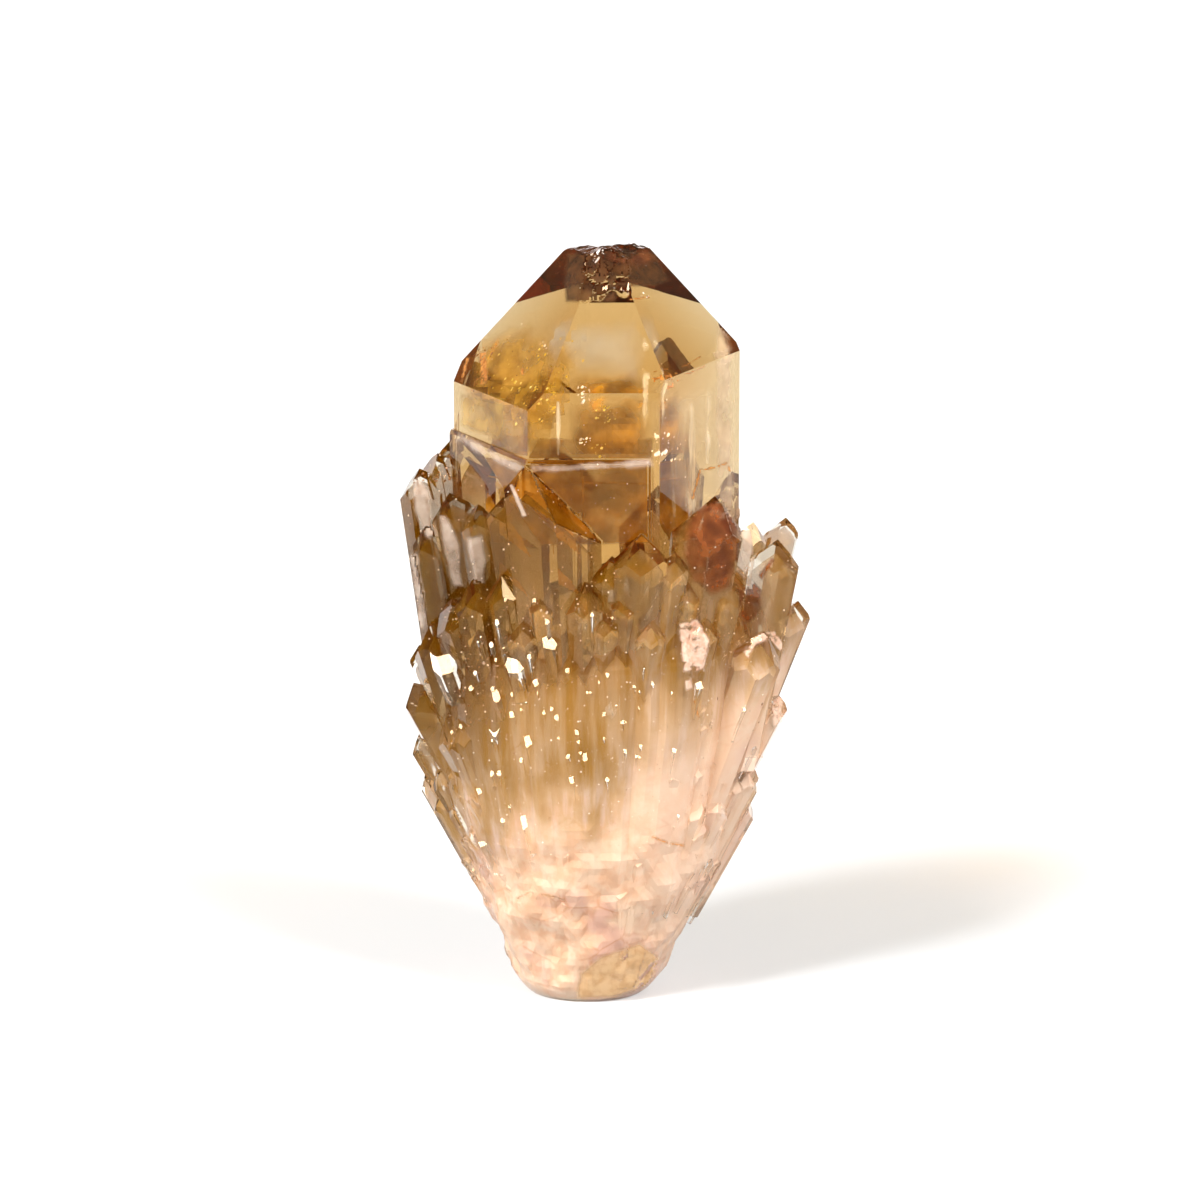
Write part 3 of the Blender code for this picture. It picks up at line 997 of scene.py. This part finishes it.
# %% [markdown]
# Its colour runs from cream and peach at the root through tan to a smoky honey brown, and the
# borders slope down towards the left. Streaks follow the crystals, so the noise is squeezed along
# the height. Inside the large crystal the milk ends lower down, which leaves that one clear.

# %% The colour of the milk
SMOKE = (0.155, 0.058, 0.001, 1)
HONEY = (0.26, 0.122, 0.004, 1)
TAN = (0.385, 0.195, 0.036, 1)
SAND = (0.565, 0.365, 0.185, 1)
PEACH = (0.87, 0.575, 0.40, 1)
CREAM = (0.89, 0.69, 0.54, 1)
PINK = (0.82, 0.54, 0.45, 1)
LILAC = (0.74, 0.58, 0.53, 1)
ROSE = (0.83, 0.64, 0.53, 1)
RUST = (0.62, 0.26, 0.10, 1)
ROOT_SLOPE = -0.6
# From what height to what height, in mm, each colour takes over from the one before
TO_SANDY = (13, 22)
TO_TANNED = (16, 26)
TO_SMOKY = (27.5, 39.5)
MILK_THINNEST = 0.42

kit, shader, coords = shading(milk)
place = kit.axes(coords)
height = place["Z"]
across = place["X"]
streaks = kit.add("ShaderNodeMapping", {"Vector": coords, "Scale": (1, 1, 0.10)}).outputs[0]
fine_streak = kit.noise(streaks, 1100.0, 5.0)
wide_streak = kit.noise(streaks, 300.0, 4.0)
cloud = kit.noise(coords, 190.0, 6.0)
patch = kit.noise(coords, 520.0, 8.0, Roughness=0.65)
wander = kit.times_plus(across, ROOT_SLOPE, height)
wander = kit.times_plus(kit.minus(cloud, 0.5), 13 * MM, wander)
wander = kit.times_plus(kit.minus(wide_streak, 0.5), 15 * MM, wander)
colour = kit.mix(kit.ramp(patch, 0.40, 0.60), CREAM, PEACH)
colour = kit.mix(kit.ramp(cloud, 0.50, 0.64), colour, PINK)
cracks = kit.add("ShaderNodeTexVoronoi", {"Vector": coords, "Scale": 330.0}, feature="DISTANCE_TO_EDGE")
cracks = kit.times(kit.ramp(cracks.outputs[0], 0.055, 0.0), kit.ramp(cloud, 0.42, 0.6))
colour = kit.mix(kit.times(cracks, 0.45), colour, RUST)
sandy = kit.mix(kit.ramp(fine_streak, 0.46, 0.70), SAND, LILAC)
tanned = kit.mix(kit.ramp(fine_streak, 0.35, 0.65), TAN, SAND)
smoky = kit.mix(kit.ramp(wide_streak, 0.35, 0.66), SMOKE, HONEY)
for (low, high), upper in ((TO_SANDY, sandy), (TO_TANNED, tanned), (TO_SMOKY, smoky)):
    colour = kit.mix(kit.ramp(wander, low * MM, high * MM), colour, upper)
leftwards = kit.times(kit.ramp(across, -5 * MM, -10 * MM), kit.ramp(height, 19 * MM, 27 * MM))
colour = kit.mix(leftwards, colour, smoky)
rightwards = kit.times(kit.ramp(across, 1 * MM, 8 * MM), kit.ramp(height, 30 * MM, 20 * MM))
colour = kit.mix(kit.times(rightwards, 0.6), colour, ROSE)
kit.put(shader, {"Base Color": colour, "Roughness": 0.8, "Specular IOR Level": 0.0})
fade = kit.times_plus(kit.minus(fine_streak, 0.5), 10 * MM, wander)
solid = kit.ramp(fade, 18 * MM, 36 * MM, 1.0, MILK_THINNEST)
from_axis = kit.vector("MULTIPLY", kit.vector("SUBTRACT", coords, MAIN_AXIS), (1, 1, 0))
in_main = kit.ramp(kit.vector("LENGTH", from_axis), 8.4 * MM, 9.8 * MM, 1.0, 0.0)
low_part = kit.ramp(fade, 15 * MM, 33 * MM, 1.0, 0.0)
inside = kit.minus(1.0, kit.times(in_main, kit.minus(1.0, low_part)))
# The crystals high on the right are nearly clear.
clear_right = kit.times(kit.ramp(across, 7 * MM, 12 * MM), kit.ramp(height, 26 * MM, 32 * MM))
inside = kit.times(inside, kit.times_plus(clear_right, -0.5, 1.0))
kit.put(shader, {"Alpha": kit.times(solid, inside)})
for milky in (milk_one, milk_two):
    milky.data.materials.clear()
    milky.data.materials.append(milk)
print("milky quartz", len(milk_one.data.polygons) + len(milk_two.data.polygons), "faces")

# %% [markdown]
# Stains, frosted patches and veils are thin sheets, and so is some painted light: a painted shade
# under the broken tip, a painted pale reflection on faces that look to the left, and a painted
# highlight along the edge of a long crystal low on the left. Each has an outline in pixels of the
# frame and a depth: at zero depth it lies on the skin, and deeper it floats in the clear quartz, on
# the bent continuation of the same ray. The sheet thins out towards its outline: its UV map says how
# far inside a point is.

# %% Sheets on and in the quartz
SKIN_LIFT = 0.02 * MM
# The cells of a sheet, in pixels; one that fades out slowly has larger cells.
SHEET_STEP = 1.6
LARGEST_STEP = 6.0
SLOW_FADE = 5
# Nothing is made where a ray grazes the skin, or where a cell would bridge a jump in distance.
GRAZING = -0.08
LARGEST_JUMP = 4
# Inside the quartz a cell stays behind one facet, because each facet bends rays its own way.
SAME_FACET = 0.97
# Sheets inside wave in depth: by how much in mm, and how quickly
WAVE = 0.8
WAVE_PITCH = 0.035
WAVE_SHIFT = 9


def inside_by(across, down, outline):
    """How many pixels a place lies inside an outline; below zero it is outside."""
    spot = Vector((across, down))
    within = False
    nearest = math.inf
    for first, second in zip(outline, outline[1:] + outline[:1]):
        start = Vector(first)
        edge = Vector(second) - start
        share = min(1.0, max(0.0, (spot - start).dot(edge) / edge.length_squared))
        nearest = min(nearest, (spot - start - edge * share).length)
        if (first[1] > down) != (second[1] > down):
            within ^= across < first[0] + (down - first[1]) * edge.x / edge.y
    return nearest if within else -nearest


def bent(way, normal):
    """The way a ray goes on inside the quartz."""
    facing = -way.dot(normal)
    share = 1 / QUARTZ_IOR
    root = math.sqrt(1 - share * share * (1 - facing * facing))
    return (way * share + normal * (share * facing - root)).normalized()


def sheet(shape, outline, feather, depth, surface):
    """Adds one sheet to a bmesh."""
    step = min(SHEET_STEP * max(1.0, feather / SLOW_FADE), LARGEST_STEP)
    lefts, tops = zip(*outline)
    cols = math.ceil((max(lefts) - min(lefts)) / step)
    rows = math.ceil((max(tops) - min(tops)) / step)
    layer = shape.loops.layers.uv.verify()
    spots = {}
    for row in range(rows + 1):
        for col in range(cols + 1):
            across = min(lefts) + col * step
            down = min(tops) + row * step
            inside = inside_by(across, down, outline)
            if inside < -step:
                continue
            start, way = camera_ray(across, down)
            hit, normal, _, away = surface.ray_cast(start, way)
            if hit is None or normal.dot(way) > GRAZING:
                continue
            place = hit + normal * SKIN_LIFT
            if depth:
                wave = noise.noise(Vector((across, down, depth * WAVE_SHIFT)) * WAVE_PITCH) * WAVE
                place = hit + bent(way, normal) * (depth + wave) * MM
            spots[row, col] = (shape.verts.new(place), inside / feather, away, normal.copy())
    for row, col in spots:
        ring = [(row, col), (row + 1, col), (row + 1, col + 1), (row, col + 1)]
        if not all(corner in spots for corner in ring):
            continue
        verts, shares, reach, facings = zip(*[spots[corner] for corner in ring])
        if max(reach) - min(reach) > LARGEST_JUMP * step * PIXEL or max(shares) <= 0:
            continue
        if depth and min(facings[0].dot(other) for other in facings) < SAME_FACET:
            continue
        face = shape.faces.new(verts)
        for loop, share in zip(face.loops, shares):
            loop[layer].uv = (max(0.0, min(1.0, share)), 0.5)


def box(left, top, right, bottom):
    """An upright rectangle as an outline."""
    return ((left, top), (right, top), (right, bottom), (left, bottom))


def strip(points, width):
    """An outline of a given width along a line."""
    left = []
    right = []
    for number, point in enumerate(points):
        before = Vector(points[max(0, number - 1)])
        after = Vector(points[min(len(points) - 1, number + 1)])
        along = (after - before).normalized()
        across = Vector((-along.y, along.x)) * width / 2
        left.append(tuple(Vector(point) + across))
        right.append(tuple(Vector(point) - across))
    return left + right[::-1]


# %% What the sheets look like
def sheet_material(name, first, second, scale, low, high, most, stretch=1.0):
    """A patchy coat: noise picks where it lies, and the UV map thins it out towards its border."""
    material = bpy.data.materials.new(name)
    kit, shader, coords = shading(material)
    drawn = kit.add("ShaderNodeMapping", {"Vector": coords, "Scale": (1, 1, stretch)}).outputs[0]
    cover = kit.ramp(kit.noise(drawn, scale, 6.0), low, high)
    tone = kit.ramp(kit.noise(drawn, scale * 2.3, 3.0), 0.35, 0.65)
    border = kit.ramp(kit.axes(kit.add("ShaderNodeTexCoord").outputs["UV"])["X"], 0.0, 1.0)
    reach = kit.math("ADD", cover, kit.minus(border, 1.0))
    alpha = kit.times(kit.math("MAXIMUM", reach, 0.0), most)
    kit.put(shader, {"Base Color": kit.mix(tone, first, second), "Alpha": alpha})
    kit.put(shader, {"Roughness": 0.6, "Specular IOR Level": 0.1})
    return material


# Two colours, scale of the noise, where cover starts and is full, most cover, squeeze along the height
SHEET_LOOKS = {
    "iron_red": ((0.11, 0.024, 0.006, 1), (0.25, 0.065, 0.015, 1), 420.0, 0.05, 0.45, 0.76),
    # Frosted patches, and a painted pale reflection on faces that look to the left
    "frost": ((0.62, 0.48, 0.39, 1), (0.76, 0.63, 0.54, 1), 420.0, 0.2, 0.6, 0.62),
    "pink_crust": ((0.78, 0.49, 0.36, 1), (0.88, 0.66, 0.54, 1), 1300.0, 0.3, 0.5, 0.85),
    "tan_patch": ((0.60, 0.37, 0.17, 1), (0.74, 0.50, 0.27, 1), 500.0, 0.1, 0.5, 0.7),
    "crack": ((0.36, 0.13, 0.03, 1), (0.62, 0.28, 0.08, 1), 1500.0, 0.3, 0.5, 0.9),
    "amber_veil": ((0.33, 0.185, 0.014, 1), (0.54, 0.35, 0.06, 1), 260.0, 0.1, 0.6, 0.85),
    "orange_stain": ((0.66, 0.26, 0.02, 1), (0.80, 0.45, 0.05, 1), 420.0, 0.36, 0.7, 0.8),
    # Pale streaks in the quartz, and a painted highlight along one edge
    "white_streak": ((0.92, 0.82, 0.66, 1), (0.98, 0.93, 0.86, 1), 900.0, 0.42, 0.66, 0.75, 0.12),
    "wisp": ((0.86, 0.74, 0.60, 1), (0.95, 0.88, 0.80, 1), 1250.0, 0.54, 0.76, 0.6, 0.16),
    "blue_veil": ((0.30, 0.42, 0.72, 1), (0.46, 0.60, 0.92, 1), 150.0, 0.1, 0.8, 0.50, 0.3),
    # Painted shade: near-black in the citrine's brown, laid just under the broken tip
    "dark_patch": ((0.040, 0.014, 0.004, 1), (0.095, 0.034, 0.009, 1), 420.0, 0.05, 0.4, 0.92),
    "pale_veil": ((0.68, 0.63, 0.58, 1), (0.82, 0.79, 0.76, 1), 150.0, 0.1, 0.8, 0.50, 0.3),
}
# Outline in pixels, how far in from it the sheet is full, and depth in mm
SHEETS = {
    "iron_red": (
        (((684, 522), (700, 500), (722, 497), (741, 520), (741, 562), (733, 590), (712, 598),
          (690, 585), (680, 552)), 9, 0),
        (((738, 586), (751, 576), (763, 590), (760, 614), (748, 624), (738, 616)), 2.5, 0),
        (((757, 575), (772, 556), (776, 560), (762, 582)), 2, 0),
        (((600, 252), (618, 246), (650, 246), (664, 262), (640, 270), (605, 264)), 10, 0.3),
    ),
    "frost": (
        # The first four are painted reflection: the pale mauve that faces looking to the left show. The
        # others are frosted.
        (((408, 482), (420, 470), (434, 496), (440, 536), (426, 542), (412, 512)), 7, 0),
        (((437, 514), (448, 512), (462, 545), (466, 588), (452, 588), (441, 552)), 6, 0),
        (((464, 536), (484, 533), (488, 560), (486, 588), (471, 586)), 6, 0),
        (((407, 555), (419, 548), (428, 588), (430, 632), (416, 630)), 6, 0),
        (strip(((455, 436), (490, 454), (525, 472)), 15), 7, 0),
        (strip(((528, 468), (566, 468), (610, 466), (655, 462)), 13), 7, 0),
        (((738, 530), (752, 528), (756, 560), (752, 588), (742, 586)), 3, 0),
        (((508, 484), (513, 483), (528, 516), (522, 518)), 2, 0),
        (((714, 300), (726, 310), (735, 350), (737, 520), (716, 524), (712, 420)), 8, 2.0),
    ),
    "pink_crust": (
        (((677, 622), (698, 617), (711, 640), (706, 672), (682, 673)), 4, 0),
        (((683, 680), (692, 677), (694, 689), (685, 692)), 3, 0),
        (((742, 652), (755, 632), (775, 630), (786, 645), (783, 656), (770, 642), (757, 645),
          (748, 661)), 3, 0),
        (((770, 700), (784, 690), (786, 720), (772, 735)), 4, 0),
    ),
    "tan_patch": (
        (((578, 972), (600, 953), (640, 940), (663, 957), (652, 988), (612, 1000), (572, 1002)), 7, 0),
    ),
    "crack": (
        (strip(((692, 500), (700, 470), (712, 468), (727, 463), (730, 472)), 3.5), 1.2, 0),
        (strip(((674, 374), (690, 373), (706, 365)), 3), 1.2, 2.0),
        (box(659, 374, 673, 381), 1.5, 3.0),
        (strip(((633, 299), (650, 297)), 3), 1.2, 1.5),
        (strip(((694, 700), (699, 718)), 2.5), 1.0, 0),
        (strip(((516, 899), (530, 892), (552, 896), (566, 900)), 4.0), 3.0, 0),
        (strip(((650, 836), (668, 843), (686, 846)), 6.0), 4.0, 0),
        (((478, 352), (488, 350), (489, 384), (479, 387)), 3, 0.6),
        (((465, 357), (471, 357), (463, 384), (459, 382)), 2, 0.4),
        (((520, 367), (524, 366), (524, 376), (521, 376)), 1.2, 2.0),
    ),
    "amber_veil": (
        (((466, 335), (530, 315), (566, 345), (572, 440), (540, 470), (500, 460), (458, 430)), 30, 5.0),
        (((566, 392), (640, 388), (656, 420), (655, 470), (590, 480), (552, 450)), 26, 9.0),
        (((456, 388), (508, 400), (510, 446), (486, 440), (456, 428)), 9, 1.5),
        (((536, 436), (655, 436), (656, 545), (540, 548), (505, 500)), 5, 12.0),
    ),
    "orange_stain": (
        (((578, 398), (610, 388), (652, 396), (655, 414), (620, 424), (588, 418)), 10, 4.0),
        (((504, 322), (510, 328), (482, 378), (472, 376)), 5, 2.5),
        (((690, 560), (735, 562), (730, 600), (694, 600)), 8, 1.2),
    ),
    "white_streak": (
        (box(555, 400, 561, 457), 2, 2.0),
        (box(640, 334, 653, 430), 5, 3.0),
        (box(704, 362, 713, 466), 3, 2.0),
        # A painted highlight: the white line along the edge of the long crystal low on the left
        (strip(((409, 716), (437, 776), (490, 870)), 5), 1.2, 0),
        (box(668, 395, 705, 520), 14, 3.0),
    ),
    "wisp": (
        (((505, 560), (700, 560), (700, 720), (500, 730)), 30, 1.0),
        (((560, 690), (720, 690), (700, 800), (560, 800)), 30, 0.6),
    ),
    "blue_veil": (
        (((535, 306), (650, 306), (664, 350), (655, 400), (565, 400), (535, 350)), 45, 5.0),
    ),
    # Painted shade that darkens the broken tip
    "dark_patch": (
        (((566, 252), (600, 249), (656, 249), (672, 282), (655, 288), (621, 289), (616, 304),
          (564, 304), (562, 284)), 5, 0.5),
    ),
    "pale_veil": (
        (((662, 392), (706, 378), (738, 374), (738, 520), (700, 530), (664, 500)), 20, 4.0),
    ),
}

# %% [markdown]
# Small cracks and grains in the clear quartz show as specks. The gold ones are painted glints, and
# the pale ones are pale grains and painted glints: their bright colour stands in for light that tiny
# cracks catch. They are flakes of five sides, at random places behind an outline, most of them
# turned towards the camera.

# %% Flakes
FLAKE_CORNERS = 5
FLAKE_CORNER_REACH = (0.55, 1.0)
FLAKE_SLIM = 0.7
FLAKE_FACING = 1.2
FLAKE_COLOURS = {
    # Painted glints: gold specks whose bright colour stands in for light caught by tiny cracks
    "gold_flakes": ((0.62, 0.42, 0.03, 1), (0.85, 0.70, 0.20, 1)),
    # Pale grains and painted glints: near-white specks
    "pale_flakes": ((0.95, 0.78, 0.62, 1), (1.0, 0.93, 0.88, 1)),
    "brown_flakes": ((0.13, 0.045, 0.01, 1), (0.30, 0.13, 0.04, 1)),
}
# Outline, how many, smallest and largest size in mm, least and most depth in mm
FLAKES = {
    # Painted glints in gold
    "gold_flakes": (
        (((500, 345), (548, 340), (560, 420), (508, 432), (485, 390)), 90, 0.04, 0.22, 1.5, 5.0),
        (((596, 406), (612, 404), (616, 424), (596, 424)), 26, 0.05, 0.3, 2.0, 4.0),
        (box(592, 444, 606, 457), 14, 0.05, 0.25, 2.0, 4.0),
        (((512, 377), (522, 377), (520, 392), (510, 392)), 10, 0.05, 0.25, 1.0, 2.0),
        (((556, 335), (600, 350), (590, 400), (560, 390)), 20, 0.04, 0.2, 2.0, 5.0),
    ),
    # Pale grains, and painted glints on the tip and in the large crystal
    "pale_flakes": (
        (box(578, 390, 592, 404), 14, 0.06, 0.26, 1.5, 3.0),
        (box(578, 436, 592, 450), 12, 0.06, 0.24, 1.5, 3.0),
        (box(662, 432, 680, 462), 22, 0.08, 0.40, 1.0, 2.5),
        (((538, 342), (552, 342), (550, 358), (538, 358)), 8, 0.06, 0.22, 1.0, 2.0),
        (((604, 286), (652, 291), (650, 298), (630, 297), (606, 292)), 14, 0.05, 0.20, 0.2, 0.45),
        (((588, 247), (604, 246), (604, 262), (590, 261)), 14, 0.06, 0.28, 0.05, 0.3),
        (((598, 306), (603, 306), (614, 320), (610, 321)), 10, 0.05, 0.3, 0.5, 1.0),
        (((520, 250), (690, 250), (700, 290), (510, 300)), 40, 0.02, 0.08, 0.1, 2.0),
        (((480, 315), (640, 300), (730, 340), (735, 455), (600, 470), (470, 425)),
         60, 0.02, 0.09, 1.0, 7.0),
        (((500, 480), (650, 480), (690, 560), (600, 640), (470, 560)), 80, 0.02, 0.10, 0.3, 3.0),
        (((440, 590), (560, 590), (540, 760), (440, 760)), 120, 0.02, 0.12, 0.1, 0.8),
        (((470, 600), (740, 600), (700, 860), (480, 860)), 300, 0.02, 0.09, 0.0, 0.3),
    ),
    "brown_flakes": (
        (((474, 345), (492, 345), (492, 388), (474, 390)), 60, 0.04, 0.25, 0.4, 2.0),
        (((520, 250), (690, 250), (700, 290), (510, 300)), 40, 0.03, 0.16, 0.1, 1.0),
        (((405, 450), (460, 447), (462, 482), (405, 484)), 60, 0.04, 0.2, 0.05, 0.6),
        (box(440, 600, 515, 760), 90, 0.03, 0.18, 0.05, 0.5),
        (((500, 320), (700, 330), (700, 460), (500, 460)), 16, 0.03, 0.12, 1.0, 5.0),
        (((470, 600), (740, 600), (700, 860), (480, 860)), 160, 0.02, 0.08, 0.0, 0.2),
        (((738, 690), (784, 688), (790, 740), (745, 745)), 30, 0.03, 0.2, 0.05, 0.5),
    ),
}


def flake(shape, outline, sizes, depths, surface, chance):
    """Adds one flake to a bmesh, if its place lies inside the outline and behind the skin."""
    lefts, tops = zip(*outline)
    across = chance.uniform(min(lefts), max(lefts))
    down = chance.uniform(min(tops), max(tops))
    if inside_by(across, down, outline) < 0:
        return
    start, way = camera_ray(across, down)
    hit, normal, _, _ = surface.ray_cast(start, way)
    if hit is None:
        return
    middle = hit + bent(way, normal) * chance.uniform(*depths) * MM
    size = (sizes[0] + (sizes[1] - sizes[0]) * chance.random() ** 2) * MM
    wobble = Vector((chance.uniform(-1, 1), chance.uniform(-1, 1), chance.uniform(-1, 1)))
    facing = (wobble - way * FLAKE_FACING).normalized()
    side = facing.orthogonal().normalized()
    other = facing.cross(side)
    verts = []
    for corner in range(FLAKE_CORNERS):
        turn = math.tau * corner / FLAKE_CORNERS
        reach = size * chance.uniform(*FLAKE_CORNER_REACH)
        way_out = side * math.cos(turn) + other * math.sin(turn) * FLAKE_SLIM
        verts.append(shape.verts.new(middle + way_out * reach))
    shape.faces.new(verts)


def flake_material(name, first, second):
    material = bpy.data.materials.new(name)
    kit, shader, coords = shading(material)
    tone = kit.ramp(kit.noise(coords, 2500.0, 2.0), 0.4, 0.6)
    kit.put(shader, {"Base Color": kit.mix(tone, first, second), "Roughness": 0.4})
    return material


def coat_of(shape, material):
    """Turns a bmesh of sheets or flakes into a piece with its material's name."""
    piece = object_from(shape, material.name)
    piece.data.materials.append(material)
    print(piece.name, len(piece.data.polygons), "faces")
    return piece


# %% All sheets and flakes
skin = surface_of([shell])
coats = []
for name, places in SHEETS.items():
    shape = bmesh.new()
    for outline, feather, depth in places:
        sheet(shape, outline, feather, depth, skin)
    coats.append(coat_of(shape, sheet_material(name, *SHEET_LOOKS[name])))
chance = random.Random(8)
for name, places in FLAKES.items():
    shape = bmesh.new()
    for outline, count, least, most, shallow, deep in places:
        for _ in range(count):
            flake(shape, outline, (least, most), (shallow, deep), skin, chance)
    coats.append(coat_of(shape, flake_material(name, *FLAKE_COLOURS[name])))

# %% [markdown]
# Dust and tiny chips lie on the faces. Geometry Nodes scatter them over the front of the skin.

# %% Dust
DUST_LOWEST = 17 * MM
DUST_HIGHEST = 45 * MM
# Only faces whose normal points less than this backwards are dusty.
DUST_BACKWARDS = 0.1
# The higher this power, the fewer large grains
DUST_POWER = 3.0
dust_paint = bpy.data.materials.new("dust")
kit, shader, coords = shading(dust_paint)
kit.put(shader, {"Base Color": (0.82, 0.71, 0.58, 1), "Roughness": 0.7})
dust_sockets = (
    ("Skin", "Object", shell),
    ("Grains per square metre", "Float", 420000.0),
    ("Smallest", "Float", 0.022 * MM),
    ("Largest", "Float", 0.085 * MM),
    ("Seed", "Int", 4),
    ("Paint", "Material", dust_paint),
)
dusty, dusty_in, dusty_out = new_tree("dust", dust_sockets)
skin_shape = dusty.add("GeometryNodeObjectInfo", {"Object": dusty_in["Skin"]}).outputs["Geometry"]
face_way = dusty.axes(dusty.add("GeometryNodeInputNormal").outputs[0])
face_height = dusty.axes(dusty.add("GeometryNodeInputPosition").outputs[0])["Z"]
above = dusty.math("GREATER_THAN", face_height, DUST_LOWEST)
in_height = dusty.times(above, dusty.math("LESS_THAN", face_height, DUST_HIGHEST))
grains = dusty.add(
    "GeometryNodeDistributePointsOnFaces",
    {
        "Mesh": skin_shape,
        "Selection": dusty.times(dusty.math("LESS_THAN", face_way["Y"], DUST_BACKWARDS), in_height),
        "Density": dusty_in["Grains per square metre"],
        "Seed": dusty_in["Seed"],
    },
)
grain = dusty.add("GeometryNodeMeshIcoSphere", {"Radius": 1.0, "Subdivisions": 1})
share = dusty.math("POWER", dusty.chance(0.0, 1.0, 5), DUST_POWER)
spread = dusty.minus(dusty_in["Largest"], dusty_in["Smallest"])
size = dusty.times_plus(share, spread, dusty_in["Smallest"])
dusting = dusty.add(
    "GeometryNodeInstanceOnPoints",
    {"Points": grains.outputs["Points"], "Instance": grain.outputs[0], "Scale": size},
)
end_tree(dusty, dusting.outputs[0], dusty_in["Paint"], dusty_out)
dust = grow("dust", dusty.tree, dust_sockets)
coats.append(dust)
print("dust", len(dust.data.polygons), "faces")

# %% Everything rides on the one body
for piece in [shell, milk_one, milk_two] + coats:
    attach(piece, BODY)
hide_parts(NODE)
